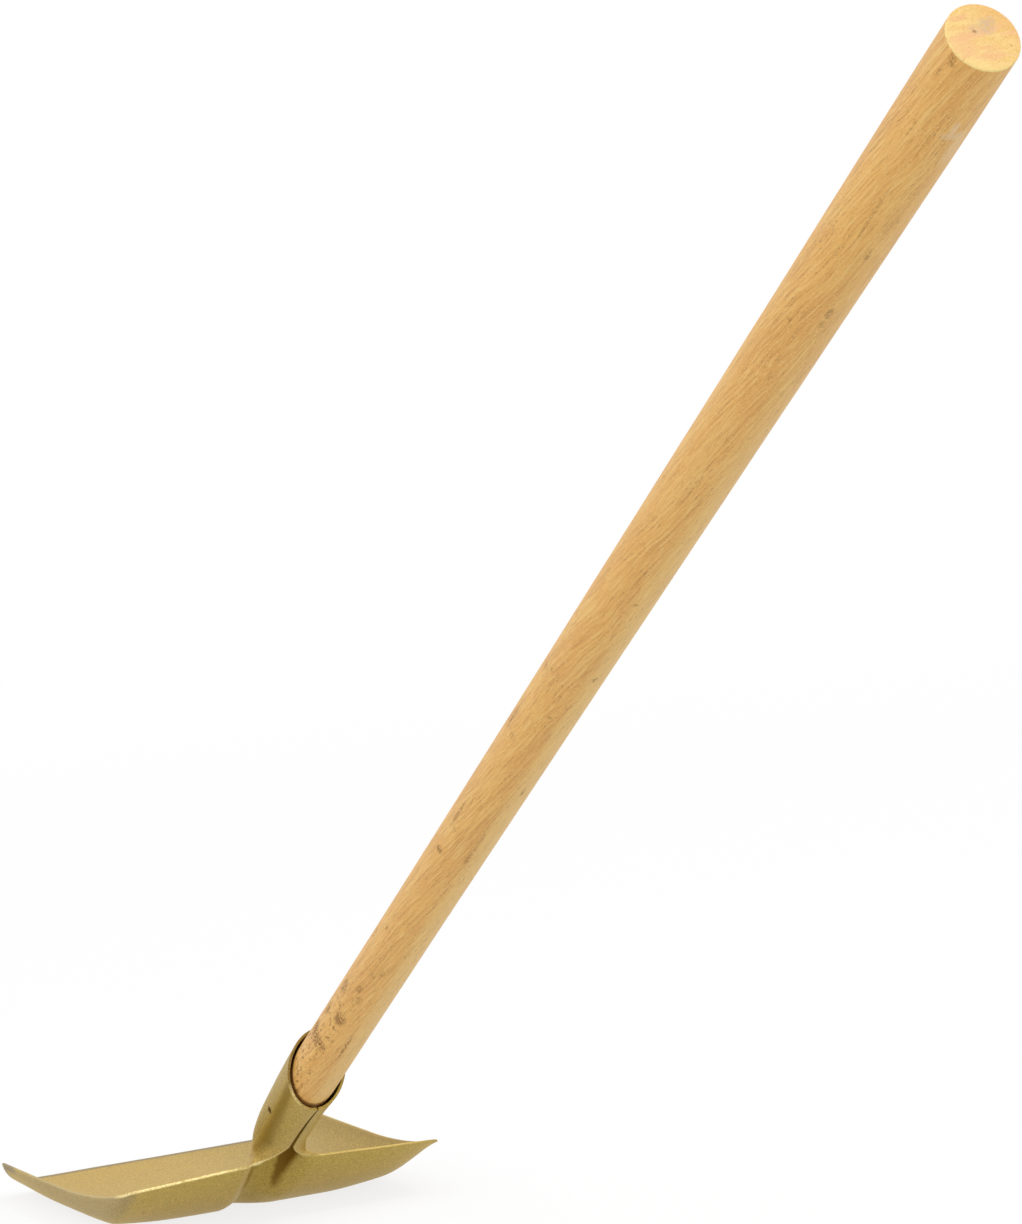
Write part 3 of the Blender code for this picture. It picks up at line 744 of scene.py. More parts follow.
class Finish:
    """The nodes of one material or world."""

    def __init__(self, tree):
        self.tree = tree

    def node(self, kind, settings=None, values=None, output=0):
        """Adds a node, with its settings first and then the values or links of its sockets."""
        node = self.tree.nodes.new(kind)
        for name, value in (settings or {}).items():
            setattr(node, name, value)
        for key, value in (values or {}).items():
            self.feed(node.inputs[key], value)
        return Signal(self, node.outputs[output])

    def feed(self, socket, value):
        """Links a signal to a socket, or sets the socket's own value."""
        if isinstance(value, Signal):
            self.tree.links.new(value.output, socket)
        elif socket.type == 'RGBA':
            socket.default_value = (*value, 1.0)
        else:
            socket.default_value = value

    def set(self, **values):
        """Feeds the shader's sockets, named with underscores for spaces."""
        shader = self.tree.nodes['Principled BSDF']
        for name, value in values.items():
            self.feed(shader.inputs[name.replace('_', ' ')], value)

    def coordinates(self, frame=None):
        """Places on the object, or the same places in a frame that stands on it."""
        place = self.node('ShaderNodeTexCoord', output='Object')
        if frame is None:
            return place
        return self.node('ShaderNodeMapping', {'vector_type': 'TEXTURE'},
                         {'Vector': place, 'Location': frame.translation,
                          'Rotation': frame.to_euler()})

    def parts(self, vector):
        """The X, Y and Z of a vector, or the red, green and blue of a colour."""
        node = self.node('ShaderNodeSeparateXYZ', None, {'Vector': vector}).output.node
        return [Signal(self, output) for output in node.outputs]

    def joined(self, x, y, z=0.0):
        return self.node('ShaderNodeCombineXYZ', None, {'X': x, 'Y': y, 'Z': z})

    def vector(self, operation, *values, output=0):
        return self.node('ShaderNodeVectorMath', {'operation': operation},
                         dict(enumerate(values)), output)

    def scaled(self, vector, scale):
        return self.vector('MULTIPLY', vector, scale)

    def size(self, vector):
        return self.vector('LENGTH', vector, output='Value')

    def noise(self, vector, scale, detail=2.0, roughness=0.5, output=0):
        return self.node('ShaderNodeTexNoise', None,
                         {'Vector': vector, 'Scale': scale, 'Detail': detail,
                          'Roughness': roughness}, output)

    def grained(self, vector, share, scale, detail=2.0, roughness=0.5):
        """Noise whose Z runs at a share of the scale, which draws it out along Z."""
        return self.noise(self.scaled(vector, (1.0, 1.0, share)), scale, detail, roughness)

    def pushed(self, vector, sway, amounts):
        """A vector moved about by a colour, whose grey leaves it in its place."""
        centred = self.vector('SUBTRACT', sway, (0.5, 0.5, 0.5))
        return self.vector('MULTIPLY_ADD', centred, amounts, vector)

    def swayed(self, vector, scale, amounts):
        """A vector moved about by coloured noise."""
        return self.pushed(vector, self.noise(vector, scale, output='Color'), amounts)

    def cells(self, vector, scale, output='Distance'):
        return self.node('ShaderNodeTexVoronoi', None, {'Vector': vector, 'Scale': scale}, output)

    def mix(self, factor, a, b):
        """A colour between a and b; node sockets 6 and 7 are the two colours."""
        return self.node('ShaderNodeMix', {'data_type': 'RGBA'}, {0: factor, 6: a, 7: b}, 2)

    def coated(self, tone, coats):
        """A colour with others over it, in order: each coat is its cover and its colour."""
        for cover, coat in coats:
            tone = self.mix(cover, tone, coat)
        return tone

    def attribute(self, name):
        return self.node('ShaderNodeAttribute', {'attribute_name': name}, output='Fac')

    def bump(self, height, strength, distance):
        self.set(Normal=self.node('ShaderNodeBump', None,
                                  {'Height': height, 'Strength': strength, 'Distance': distance}))


def new_finish(name):
    """A material and the finish that fills it."""
    material = bpy.data.materials.new(name)
    material.use_nodes = True
    return material, Finish(material.node_tree)


class WearAndPaintedLight:
    """Where the head is rubbed, and where shade, a dark reflection and a highlight are painted on
    it, in the row frame.

    A zone has one or more soft ends: a measure, the value at which there is none of the zone
    and the value at which it is full. The painted shade in the fold under the crown also has two
    sloping sides, from its tip upwards, and the painted dark reflection down the left of the rolled
    socket two sides at BAND_HALF_WIDTH. The band's middle lies where a place's height over the
    axis and its share BAND_SLANT of y come to BAND_MIDDLE.
    """

    # Painted light among the zones: shade in 'fold', 'left wall', 'right half', 'dull right rim'
    # and 'mouth front'; a dark reflection in 'band' and a greyer one in 'left of socket'; a
    # highlight in 'bright shoulder'
    ZONES = {
        'fold': (('x', -0.004, 0.001), ('x', 0.04, 0.03), ('over_tip', 0.0, 0.006)),
        'band': (('z', 0.038, 0.052), ('x', -0.006, -0.011)),
        'socket': (('z', 0.04, 0.058),),
        'left of socket': (('off_band', 0.004, 0.007), ('x', -0.006, -0.011), ('z', 0.04, 0.058)),
        'left wall': (('x', -0.09, -0.1),),
        'right half': (('x', 0.01, 0.08),),
        'bright shoulder': (('y', -0.1, -0.112), ('x', 0.0, -0.02)),
        'dull right rim': (('x', 0.015, 0.03), ('y', -0.02, -0.05)),
        'rubbed rim': (('z', 0.05, 0.042),),
        'mouth front': (('z', 0.07, 0.08), ('over_axis', -0.009, -0.003)),
        'cutting edge': (('y', 0.1, 0.115),),
    }
    TIP_Y = -0.0838
    TIP_Z = 0.012
    LEFT_SLOPE = -0.66
    RIGHT_SLOPE = -1.17
    LEFT_SOFTNESS = 0.0016
    RIGHT_SOFTNESS = 0.003
    BAND_SLANT = 0.08
    BAND_MIDDLE = -0.021
    BAND_HALF_WIDTH = 0.006
    BAND_CORE = 0.001

    def __init__(self, finish, place, axis):
        moved = finish.swayed(place, 300.0, (0.002, 0.002, 0.002))
        self.x, self.y, self.z = finish.parts(moved)
        place_front = finish.vector('DOT_PRODUCT', moved, axis.front, output='Value')
        self.over_axis = place_front - axis.foot.dot(axis.front)
        self.off_band = self.over_axis + self.y * self.BAND_SLANT - self.BAND_MIDDLE
        self.over_tip = self.z - self.TIP_Z

    def zone(self, name):
        """How much of the zone there is at each place."""
        cover = None
        for measure, none, full in self.ZONES[name]:
            part = getattr(self, measure).ramp(none, full)
            cover = cover * part if cover else part
        return cover

    # Painted shade in the fold under the crown
    def fold(self):
        left = self.over_tip * self.LEFT_SLOPE + self.TIP_Y - self.y
        right = self.y - self.over_tip * self.RIGHT_SLOPE - self.TIP_Y
        inside = left.ramp(-self.LEFT_SOFTNESS, self.LEFT_SOFTNESS)
        inside = inside * right.ramp(-self.RIGHT_SOFTNESS, self.RIGHT_SOFTNESS)
        return inside * self.zone('fold')

    # Painted dark reflection down the left of the rolled socket
    def band(self):
        upper = self.off_band.ramp(self.BAND_HALF_WIDTH, self.BAND_CORE)
        lower = self.off_band.ramp(-self.BAND_HALF_WIDTH, -self.BAND_CORE)
        return upper * lower * self.zone('band')


def paint(name, looks, tone, axis, outside):
    """Bronze paint with metal flake: painted sparkle, a slow drift of tone, painted shade, a
    painted dark reflection and a painted highlight, rubbed paint, bare steel and scratches.
    """
    material, finish = new_finish(name)
    place = finish.coordinates()
    wear_and_light = WearAndPaintedLight(finish, place, axis)
    coarse, fine, _ = finish.parts(finish.cells(place, 1700.0, 'Color'))
    small = finish.parts(finish.cells(place, 3100.0, 'Color'))[0]
    grit = finish.noise(place, 700.0, 3.0, 0.65)
    drift = finish.noise(place, 14.0, 3.0, 0.55)
    cloud = finish.noise(place, 60.0, 3.0, 0.6)
    band = wear_and_light.band()

    # Painted glints of flakes that catch the light, painted shade of flakes that lie away from it,
    # and scratches
    bright = coarse.ramp(0.86, 0.96) * 0.5 + small.ramp(0.75, 0.95) * 0.4
    bright = bright + grit.ramp(0.5, 0.66) * 0.2
    dark = coarse.ramp(0.15, 0.04) * 0.45 + small.ramp(0.25, 0.05) * 0.4
    dark = dark + grit.ramp(0.52, 0.36) * 0.2
    streaks = finish.noise(finish.scaled(place, (1.0, 0.03, 0.4)), 420.0)
    scratch = streaks.ramp(0.64, 0.7) * cloud.ramp(0.45, 0.6)

    # Rubbed paint and bare steel along the sheared border, with a painted highlight along the left
    # shoulder's edge
    ragged = finish.attribute('rim') + grit * 0.0016
    worn = ragged.ramp(0.0027, 0.0014)
    shoulder_highlight = wear_and_light.zone('bright shoulder') * cloud.ramp(0.36, 0.5)
    shoulder_highlight = shoulder_highlight * (grit.ramp(0.42, 0.56) * 0.6 + 0.35)
    rubbed = worn * (shoulder_highlight + wear_and_light.zone('rubbed rim') * 0.15)
    bare = ragged.ramp(0.0065, 0.0035) * wear_and_light.zone('cutting edge')

    # Painted shade on the left side wall outside, and over the pan's right half inside
    if outside:
        side = wear_and_light.zone('left wall'), looks.left_shade_and_sheen
    else:
        side = wear_and_light.zone('right half') * 0.8, looks.bronze_shaded
    shade = finish.mix(drift.ramp(0.3, 0.7), tone, [part * 0.93 for part in tone])
    shade = finish.coated(shade, [
        (cloud.ramp(0.35, 0.7) * 0.5, [part * 1.06 for part in tone]),
        side,
        (wear_and_light.zone('socket'), looks.bronze_socket),
        # Greyer painted reflection along the socket's left side
        (wear_and_light.zone('left of socket') * 0.5, looks.left_shade_and_sheen),
        # Painted dark reflection down the socket's left side
        (band * 0.65, looks.band_dark_reflection),
        (bright * (1.0 - band * 0.7), looks.glint_fleck),
        (dark, looks.shaded_fleck_and_scratch),
        (scratch * 0.3, looks.shaded_fleck_and_scratch),
        # Rubbed rims, with the painted highlight along the left shoulder's edge
        (rubbed, looks.worn_rim_and_highlight),
        # Painted shade on the mouth's front edge, beside the dark gap
        (worn * wear_and_light.zone('mouth front') * 0.85, looks.painted_shade),
        # Painted shade along the right rim, over its highlight
        (worn * wear_and_light.zone('dull right rim') * 0.6, looks.bronze_shaded),
        (bare * 0.7, looks.bare_steel),
    ])
    rough = grit * 0.14 + fine * 0.06 + (looks.paint_roughness - 0.1) - worn * 0.06
    if outside:
        # Painted shade in the fold under the crown
        dirt = wear_and_light.fold()
        shade = finish.mix(dirt * 0.88, shade, looks.painted_shade)
        rough = rough + dirt * 0.2
    finish.set(Base_Color=shade, Metallic=looks.paint_metallic, Roughness=rough,
               Specular_Tint=(1.0, 0.75, 0.25), Coat_Weight=looks.paint_clear,
               Coat_Roughness=0.25)
    skin = finish.noise(place, 420.0)
    finish.bump(skin * 0.6 + coarse * 0.25 - scratch * 0.3, 0.3, 0.0002)
    return material


# Stains and pale smears on the handle, from its top down: place along it, degrees round it from
# the worn side, half length, half width and depth
HANDLE_MARKS = (
    (1.164, -20, 0.003, 0.002, 0.55), (1.151, -27, 0.0035, 0.0008, 0.4),
    (1.045, 5, 0.022, 0.0007, 0.35), (1.0155, 35, 0.005, 0.0011, 0.45),
    (0.964, 34, 0.004, 0.0012, 0.5), (0.954, 34, 0.0022, 0.0012, 0.5),
    (0.947, -15, 0.0012, 0.001, 0.45), (0.678, 30, 0.0014, 0.001, 0.5),
    (0.597, 46, 0.0022, 0.0014, 0.6), (0.586, -37, 0.0016, 0.0012, 0.5),
    (0.579, -61, 0.0028, 0.001, 0.5), (0.551, 8, 0.0015, 0.0011, 0.5),
    (0.520, -61, 0.012, 0.0009, 0.5), (0.513, -34, 0.002, 0.0018, 0.65),
    (0.467, 51, 0.004, 0.001, 0.5), (0.417, -43, 0.013, 0.0009, 0.6),
    (0.406, 29, 0.012, 0.0007, 0.4), (0.404, -31, 0.0016, 0.001, 0.45),
    (0.386, 27, 0.007, 0.0012, 0.5), (0.377, -36, 0.0025, 0.0022, 0.75),
    (0.274, -41, 0.003, 0.0012, 0.5), (0.254, -66, 0.005, 0.0012, 0.5),
    (0.233, 8, 0.004, 0.0012, 0.35), (0.227, -7, 0.002, 0.0012, 0.4),
    (0.205, -16, 0.004, 0.0022, 0.5), (0.195, -6, 0.004, 0.002, 0.4),
    (0.189, -54, 0.007, 0.003, 0.65), (0.164, -18, 0.006, 0.0034, 0.8),
    (0.155, -63, 0.006, 0.002, 0.75), (0.138, 27, 0.014, 0.0008, 0.75),
    (0.128, -63, 0.006, 0.0034, 0.85), (0.125, -34, 0.005, 0.0052, 0.85),
)
PALE_SMEARS = (
    (1.121, 40, 0.006, 0.0014, 0.4), (1.116, 48, 0.0025, 0.005, 0.4),
    (1.104, 62, 0.012, 0.003, 0.3),
)

# Patches on the sawn end: x and y in its own plane, half sizes along them and depth
GREY_SPOTS = ((-0.0062, -0.0017, 0.0036, 0.0036, 0.55), (-0.0104, -0.0016, 0.0022, 0.0022, 0.4),
              (-0.0012, -0.0052, 0.0026, 0.0026, 0.35))
PITH_SPOTS = ((-0.0002, -0.0045, 0.0009, 0.0009, 0.8), (-0.0047, 0.0122, 0.0005, 0.0005, 0.6))
PINK_SPOTS = ((0.0099, -0.0049, 0.0055, 0.0055, 0.5), (0.004, 0.007, 0.004, 0.004, 0.3))


def on_skin(marks, radius):
    """Marks on the handle as spots on its unrolled skin."""
    return [(math.radians(turn) * radius, along, half_width, half_length, depth)
            for along, turn, half_length, half_width, depth in marks]


def spread(finish, skin, spots):
    """How much of each place the spots cover, with soft sides."""
    cover = None
    for x, y, half_x, half_y, depth in spots:
        away = finish.vector('SUBTRACT', skin, (x, y, 0.0))
        away = finish.scaled(away, (1 / half_x, 1 / half_y, 0.0))
        soft = finish.size(away).ramp(*SPOT_SIDE) * depth
        cover = cover.larger(soft) if cover else soft
    return cover


def spiralled(finish, place, slant):
    """Places turned round the axis as they go along it, so that the grain climbs at a slant."""
    x, y, along = finish.parts(place)
    turn = along * slant
    cosine, sine = turn.math('COSINE', turn), turn.math('SINE', turn)
    return finish.joined(x * cosine - y * sine, x * sine + y * cosine, along)


class Mouth:
    """The plane of the socket's slanting mouth, in the handle's own frame.

    A place lies over it where its dot product with the normal is more than the height.
    """

    def __init__(self, head, frame):
        front = frame.to_3x3().transposed() @ Axis(head).front
        slant = head.mouth_rake / (head.socket_radius + head.mouth_flare - head.sheet / 2)
        self.normal = Vector((0.0, 0.0, 1.0)) - front * slant
        self.height = head.mouth_middle - head.seam_end


def wood(looks, sizes, frame, mouth):
    """Turned hardwood: slanting grain, pores, a paler side, scuffs and a sawn end."""
    material, finish = new_finish('turned hardwood')
    place = finish.coordinates(frame)
    x, right, along = finish.parts(place)
    turn = right.math('ARCTAN2', right, x)
    glints = finish.noise(place, 900.0, 2.0, 0.6)

    # Grain, from lines and fibres to broad zones of tone
    slant = -looks.grain_slant / sizes.top_radius
    leaning = finish.swayed(spiralled(finish, place, slant), 13.0, (0.008, 0.008, 0.0))
    grain = finish.grained(leaning, 0.028, 850.0, 3.0, 0.7)
    fibre = finish.grained(leaning, 0.035, 2200.0, 2.0, 0.6)
    band = finish.grained(leaning, 0.07, 150.0, 3.0, 0.6)
    zone = finish.grained(leaning, 0.25, 38.0)
    patchy = finish.grained(leaning, 0.3, 90.0)
    pore = finish.cells(finish.scaled(leaning, (1.0, 1.0, 0.2)), 1150.0).ramp(0.34, 0.16)
    pore = pore * grain.ramp(0.56, 0.4) * patchy.ramp(0.38, 0.62)
    pale_edge = right + finish.grained(place, 0.2, 40.0) * 0.008
    pale_side = pale_edge.ramp(0.0095, 0.0145) * along.ramp(1.3, 0.55)

    # Stains and smears on the unrolled skin, dots near the socket and painted shade where the
    # handle goes into its mouth
    ragged = finish.noise(place, 520.0, 3.0, 0.65, 'Color')
    skin = finish.joined(turn * sizes.lower_radius, along)
    skin = finish.pushed(skin, ragged, (0.0035, 0.006, 0.0))
    blotches = finish.grained(place, 0.5, 950.0, 3.0, 0.65)
    stain = spread(finish, skin, on_skin(HANDLE_MARKS, sizes.lower_radius))
    stain = stain * blotches.ramp(0.4, 0.53)
    near_socket = along.ramp(0.235, 0.14) * right.ramp(0.003, -0.004)
    dots = finish.grained(place, 0.5, 430.0, 3.0, 0.65).ramp(0.55, 0.65)
    stain = stain.larger(near_socket * dots * 0.7)
    smear = spread(finish, skin, on_skin(PALE_SMEARS, sizes.lower_radius))
    over_mouth = finish.vector('DOT_PRODUCT', place, mouth.normal, output='Value') - mouth.height

    # The sawn end, with its rim torn on the worn side
    cut = along.ramp(sizes.handle_length - 0.001, sizes.handle_length - 0.0005)
    sawn_place = finish.joined(x * 0.18 - right * 0.12, x * 0.55 + right * 0.84)
    sawn = finish.noise(sawn_place, 420.0, 3.0, 0.65)
    cloud = finish.noise(sawn_place, 160.0, 3.0, 0.6)
    lower = x + cloud * 0.01
    flat = finish.swayed(finish.scaled(place, (1.0, 1.0, 0.0)), 500.0, (0.002, 0.002, 0.0))
    end = finish.coated(looks.wood_end, [
        (sawn.ramp(0.4, 0.6) * 0.55, looks.wood_end_light),
        (lower.ramp(0.002, -0.012) * 0.8, looks.wood_end_tan),
        (lower.ramp(0.006, 0.02) * 0.6, looks.wood_end_light),
        (cloud.ramp(0.48, 0.6) * 0.6, looks.wood_pink),
        (glints.ramp(0.56, 0.68) * 0.6, looks.wood_end_light),
        (glints.ramp(0.44, 0.32) * 0.35, looks.wood_dark),
        (spread(finish, flat, PINK_SPOTS), looks.wood_pink),
        (spread(finish, flat, GREY_SPOTS) * glints.ramp(0.36, 0.56), looks.wood_grey),
        (spread(finish, flat, PITH_SPOTS), looks.wood_pore),
    ])
    out = finish.size(finish.joined(x, right)) + cloud * 0.0008
    rim = cut * out.ramp(sizes.top_radius - 0.0008, sizes.top_radius - 0.0001)
    rim = rim * x.ramp(-0.006, 0.006) * glints.ramp(0.4, 0.5)

    tone = finish.coated(looks.wood, [
        (zone.ramp(0.38, 0.62), looks.wood_tan),
        (band.ramp(0.5, 0.28) * 0.45, looks.wood_dark),
        (band.ramp(0.5, 0.75) * 0.35, looks.wood_light),
        (grain.ramp(0.5, 0.66) * 0.8, looks.wood_light),
        (grain.ramp(0.48, 0.32) * 0.75, looks.wood_dark),
        (pale_side * 0.6, looks.wood_pale),
        (fibre.ramp(0.46, 0.3) * 0.6, looks.wood_dark),
        (glints.ramp(0.57, 0.67) * 0.75, looks.wood_pale),
        (pore * 0.85, looks.wood_pore),
        (stain, looks.grime_and_mouth_shade),
        # Painted shade where the handle goes into the socket's mouth
        (over_mouth.ramp(0.0003, -0.0007) * 0.7, looks.grime_and_mouth_shade),
        (smear, looks.wood_smear),
        (cut, end),
        (rim * 0.6, looks.wood_rim),
    ])
    finish.set(Base_Color=tone, Roughness=grain * 0.16 + stain * 0.15 + 0.44,
               Coat_Weight=0.06, Coat_Roughness=0.35, Specular_Tint=(1.0, 0.9, 0.7))
    finish.bump(grain * 0.5 + fibre * 0.35 - pore * 0.9 - stain * 0.4, 0.4, 0.0003)
    return material


def iron(looks):
    """Dull nail iron with hammer marks and a trace of rust."""
    material, finish = new_finish('nail iron')
    place = finish.coordinates()
    hammered = finish.noise(place, 900.0)
    rust = finish.noise(place, 420.0, 4.0, 0.6)
    rusty = rust.ramp(0.5, 0.7)
    finish.set(Base_Color=finish.mix(rusty, looks.nail, looks.nail_rust),
               Metallic=1.0 - rusty * 0.7, Roughness=rust * 0.4 + 0.25)
    finish.bump(hammered + rust * 0.4, 0.4, 0.0003)
    return material


def give_slot(thing, node):
    """Ties a piece to the one body and lets it stand for its CAD node, which it hides."""
    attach(thing, "root")
    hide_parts(node)


class SHOVEL_OT_head(Operator):
    """Press the pan, crown and rolled socket out of one sheet and paint it"""
    bl_idname = "shovel.press_head"
    bl_label = "Press Head"

    WAVE_SIZE = 0.06
    BORDER_STEPS = 6
    EDGE_STEPS = 3

    def execute(self, context):
        scene = context.scene
        head = scene.shovel_head
        mesh = HeadShape(head).mesh()
        roughen(mesh, head.unevenness, self.WAVE_SIZE)
        border = border_points(mesh, self.BORDER_STEPS)
        thing = new_object('pressed_head', mesh)
        shell = thing.modifiers.new('Sheet', 'SOLIDIFY')
        shell.thickness = head.sheet
        shell.offset = 0.0
        shell.use_even_offset = True
        shell.use_quality_normals = True
        shell.material_offset = 1
        shell.material_offset_rim = 1
        looks = scene.shovel_finishes
        axis = Axis(head)
        outside = paint('bronze paint', looks, looks.bronze, axis, True)
        inside = paint('bronze paint inside', looks, looks.bronze_inside, axis, False)
        thing.data.materials.append(inside)
        thing.data.materials.append(outside)
        settle(thing)
        for side in (-1, 1):
            drill(thing, head, side)
        round_edges(thing, head.edge_round, self.EDGE_STEPS)
        mark_rim(thing, border)
        give_slot(thing, 'shovel_head')
        return {'FINISHED'}


class SHOVEL_OT_handle(Operator):
    """Turn the hardwood handle and seat it in the socket"""
    bl_idname = "shovel.turn_handle"
    bl_label = "Turn Handle"

    CAP_RINGS = 9
    EDGE_STEPS = 5
    WAVE_SCALE = Vector((60.0, 60.0, 9.0))
    RIPPLE = 0.35
    RIPPLE_SCALE = 160.0
    CALM_END = 0.03                 # below the upper rim, where the waves fade out

    def radius(self, sizes, height):
        """Radius at a height over the lower end, below the rounded rim."""
        if height < sizes.point_end:
            return blend(sizes.point_radius, sizes.lower_radius, height / sizes.point_end)
        run = (height - sizes.taper_start) / (sizes.handle_length - sizes.grip - sizes.taper_start)
        part = min(max(run, 0.0), 1.0)
        return blend(sizes.lower_radius, sizes.top_radius, part**sizes.swell)

    def profile(self, sizes):
        """(radius, height) pairs from the middle of the upper end down to the lower end."""
        top = sizes.handle_length
        flat = sizes.top_radius - sizes.edge_round
        profile = [(flat * ring / self.CAP_RINGS, top) for ring in range(1, self.CAP_RINGS)]
        profile += [(flat + sizes.edge_round * sine, top - sizes.edge_round * (1 - cosine))
                    for sine, cosine in quarter_turn(self.EDGE_STEPS)]
        rings = round((top - sizes.edge_round) / sizes.ring_step)
        for ring in range(rings - 1, -1, -1):
            height = (top - sizes.edge_round) * ring / rings
            profile.append((self.radius(sizes, height), height))
        return profile

    def execute(self, context):
        scene = context.scene
        head = scene.shovel_head
        sizes = scene.shovel_handle
        mesh = bmesh.new()
        turn_profile(mesh, self.profile(sizes), sizes.columns)
        top = sizes.handle_length - sizes.edge_round
        for vert in mesh.verts:
            out = Vector((vert.co.x, vert.co.y, 0.0))
            wave = noise.noise(vert.co * self.WAVE_SCALE)
            wave += self.RIPPLE * noise.noise(vert.co * self.RIPPLE_SCALE)
            fade = smooth((top - vert.co.z) / self.CALM_END)
            if out.length > sizes.point_radius:
                vert.co -= out.normalized() * (abs(wave) * sizes.unevenness * fade)
        place = handle_frame(head)
        mesh.transform(place)
        thing = new_object('turned_handle', mesh)
        shade_smooth(thing, STEEP)
        hardwood = wood(scene.shovel_finishes, sizes, place, Mouth(head, place))
        thing.data.materials.append(hardwood)
        give_slot(thing, 'handle')
        return {'FINISHED'}


class SHOVEL_OT_nail(Operator):
    """Drive the nail through the right side of the socket"""
    bl_idname = "shovel.drive_nail"
    bl_label = "Drive Nail"

    COLUMNS = 40
    DOME_STEPS = 5
    RIM_SHARE = 0.4                 # of the head's height
    TIP_SHARE = 0.15                # of the shank's radius
    DENT = 0.00008
    DENT_SIZE = 0.0016

    def execute(self, context):
        scene = context.scene
        head = scene.shovel_head
        sizes = scene.shovel_nail
        base = head.socket_radius + sizes.seat
        rim = base + sizes.head_height * self.RIM_SHARE
        top = base + sizes.head_height
        tip = head.socket_radius - sizes.nail_length
        shank = sizes.shank_radius
        profile = [(sizes.head_radius * sine, blend(rim, top, cosine))
                   for sine, cosine in quarter_turn(self.DOME_STEPS)[1:]]
        profile += [(sizes.head_radius, base), (shank, base), (shank, tip + sizes.point),
                    (shank * self.TIP_SHARE, tip)]
        mesh = bmesh.new()
        turn_profile(mesh, profile, self.COLUMNS)
        roughen(mesh, self.DENT, self.DENT_SIZE)
        mesh.transform(nail_frame(head, 1))
        thing = new_object('driven_nail', mesh)
        shade_smooth(thing, CREASE)
        thing.data.materials.append(iron(scene.shovel_finishes))
        give_slot(thing, 'fixing_nail')
        return {'FINISHED'}


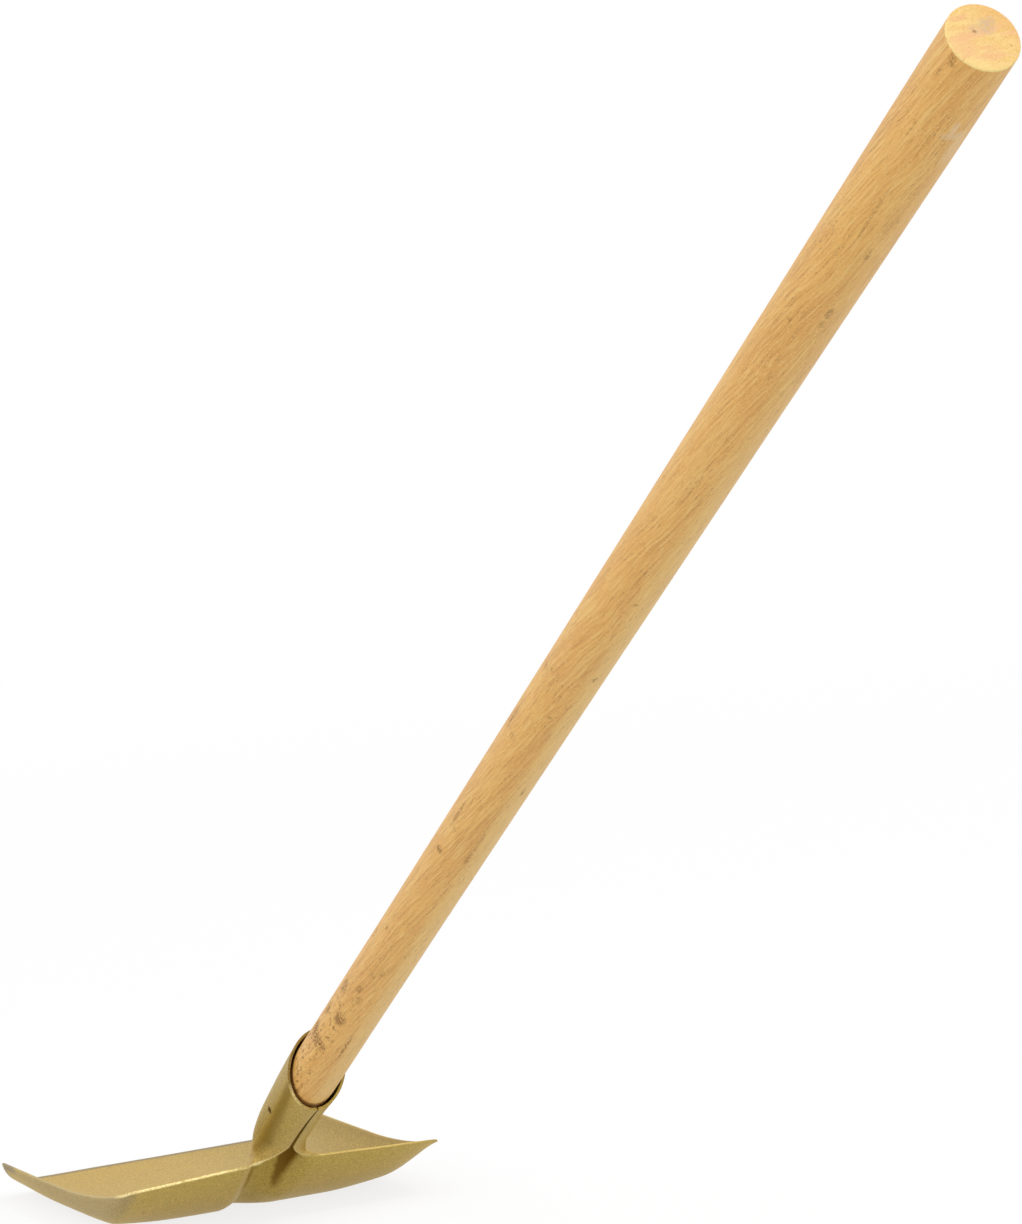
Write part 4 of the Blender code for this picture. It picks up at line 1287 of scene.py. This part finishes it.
class SHOVEL_OT_stage(Operator):
    """Set the pale floor, the soft lights and the camera"""
    bl_idname = "shovel.set_stage"
    bl_label = "Set Stage"

    FLOOR_RADIUS = 60.0
    FLOOR_SIDES = 64
    FLOOR_DROP = 0.0004             # under the pan, so that the two never share a plane
    FLOOR_SHADE = 0.17              # share of its tone near the shovel that takes shadows
    FLOOR_GLOW = 0.81               # and share that doesn't
    FLOOR_FADE = (1.6, 4.0)         # how far off it starts to turn plain white, and has
    SENSOR = 36.0                   # long side in mm
    VIEW_END = 200.0

    def background_rays(self, finish):
        """1 for rays that show the background: from the camera, in gloss and through glass."""
        path = finish.node('ShaderNodeLightPath')
        outputs = path.output.node.outputs
        names = ('Is Camera Ray', 'Is Glossy Ray', 'Is Transmission Ray')
        signals = [Signal(finish, outputs[name]) for name in names]
        return signals[0].larger(signals[1]).larger(signals[2])

    def floor(self, bounce):
        mesh = bmesh.new()
        bmesh.ops.create_circle(mesh, cap_ends=True, radius=self.FLOOR_RADIUS,
                                segments=self.FLOOR_SIDES)
        floor = new_object('studio_floor', mesh)
        floor.location.z = -self.FLOOR_DROP
        material, finish = new_finish('pale floor')

        def grey(share, kind='BsdfDiffuse'):
            return finish.node('ShaderNode' + kind, None, {'Color': (share, share, share)})

        def either(factor, first, second):
            return finish.node('ShaderNodeMixShader', None, {0: factor, 1: first, 2: second})

        near = finish.node('ShaderNodeAddShader', None,
                           {0: grey(self.FLOOR_SHADE), 1: grey(self.FLOOR_GLOW, 'Emission')})
        place = finish.node('ShaderNodeNewGeometry', output='Position')
        far = finish.size(place).ramp(*self.FLOOR_FADE)
        shown = either(far, near, grey(1.0, 'Emission'))
        seen = either(self.background_rays(finish), grey(bounce), shown)
        output = finish.tree.nodes['Material Output']
        finish.tree.links.new(seen.output, output.inputs['Surface'])
        floor.data.materials.append(material)

    def sky(self, scene, strength):
        world = bpy.data.worlds.new('white studio')
        scene.world = world
        world.use_nodes = True
        finish = Finish(world.node_tree)
        shows = self.background_rays(finish)
        background = world.node_tree.nodes['Background']
        background.inputs['Color'].default_value = (1.0, 1.0, 1.0, 1.0)
        finish.feed(background.inputs['Strength'], shows * (1.0 - strength) + strength)

    def lamp(self, scene, studio, kind, name):
        """A square soft box, from the studio's values of its kind."""
        power, size, place, target = [getattr(studio, kind + value) for value in
                                      ('_power', '_size', '_place', '_target')]
        light = bpy.data.lights.new(name, 'AREA')
        light.shape = 'RECTANGLE'
        light.size = size
        light.size_y = size
        light.energy = power
        lamp = bpy.data.objects.new(name, light)
        lamp.location = place
        sight = Vector(target) - Vector(place)
        lamp.rotation_euler = sight.to_track_quat('-Z', 'Y').to_euler()
        scene.collection.objects.link(lamp)

    def camera(self, scene, studio):
        turn, dip, roll = studio.camera_turn, studio.camera_dip, studio.camera_roll
        sight = Vector((math.sin(turn) * math.cos(dip), math.cos(turn) * math.cos(dip),
                        -math.sin(dip)))
        level = Vector((math.cos(turn), -math.sin(turn), 0.0))
        up = level.cross(sight)
        right = level * math.cos(roll) - up * math.sin(roll)
        top = level * math.sin(roll) + up * math.cos(roll)
        data = bpy.data.cameras.new('camera')
        data.sensor_width = self.SENSOR
        data.lens = studio.lens
        data.clip_end = self.VIEW_END
        camera = bpy.data.objects.new('camera', data)
        matrix = Matrix((right, top, -sight)).transposed().to_4x4()
        camera.matrix_world = Matrix.Translation(studio.camera_place) @ matrix
        scene.collection.objects.link(camera)
        scene.camera = camera

    def execute(self, context):
        scene = context.scene
        studio = scene.shovel_studio
        scene.view_settings.view_transform = 'Standard'
        self.floor(studio.bounce)
        self.sky(scene, studio.sky)
        self.lamp(scene, studio, 'key', 'overhead soft box')
        self.lamp(scene, studio, 'fill', 'camera soft box')
        self.camera(scene, studio)
        return {'FINISHED'}


class SHOVEL_PT_panel(Panel):
    """Lists the shovel's steps and sizes"""
    bl_idname = "SHOVEL_PT_panel"
    bl_label = "Scoop Shovel"
    bl_space_type = 'VIEW_3D'
    bl_region_type = 'UI'
    bl_category = "Shovel"

    def draw(self, context):
        layout = self.layout
        for operator in OPERATORS:
            layout.operator(operator.bl_idname)
        for name in GROUPS:
            group = getattr(context.scene, name)
            box = layout.box()
            box.label(text=name.replace('_', ' ').title())
            for field in group.bl_rna.properties.keys():
                if field not in ('rna_type', 'name'):
                    box.prop(group, field)


GROUPS = {
    'shovel_head': HeadSizes,
    'shovel_handle': HandleSizes,
    'shovel_nail': NailSizes,
    'shovel_finishes': Finishes,
    'shovel_studio': Studio,
}
OPERATORS = (SHOVEL_OT_head, SHOVEL_OT_handle, SHOVEL_OT_nail, SHOVEL_OT_stage)


def register():
    for group in GROUPS.values():
        bpy.utils.register_class(group)
    for operator in OPERATORS:
        bpy.utils.register_class(operator)
    bpy.utils.register_class(SHOVEL_PT_panel)
    for name, group in GROUPS.items():
        setattr(bpy.types.Scene, name, PointerProperty(type=group))


def unregister():
    for name in GROUPS:
        delattr(bpy.types.Scene, name)
    bpy.utils.unregister_class(SHOVEL_PT_panel)
    for operator in reversed(OPERATORS):
        bpy.utils.unregister_class(operator)
    for group in reversed(GROUPS.values()):
        bpy.utils.unregister_class(group)


def main():
    register()
    bpy.ops.shovel.press_head()
    bpy.ops.shovel.turn_handle()
    bpy.ops.shovel.drive_nail()
    bpy.ops.shovel.set_stage()


if __name__ == "__main__":
    main()
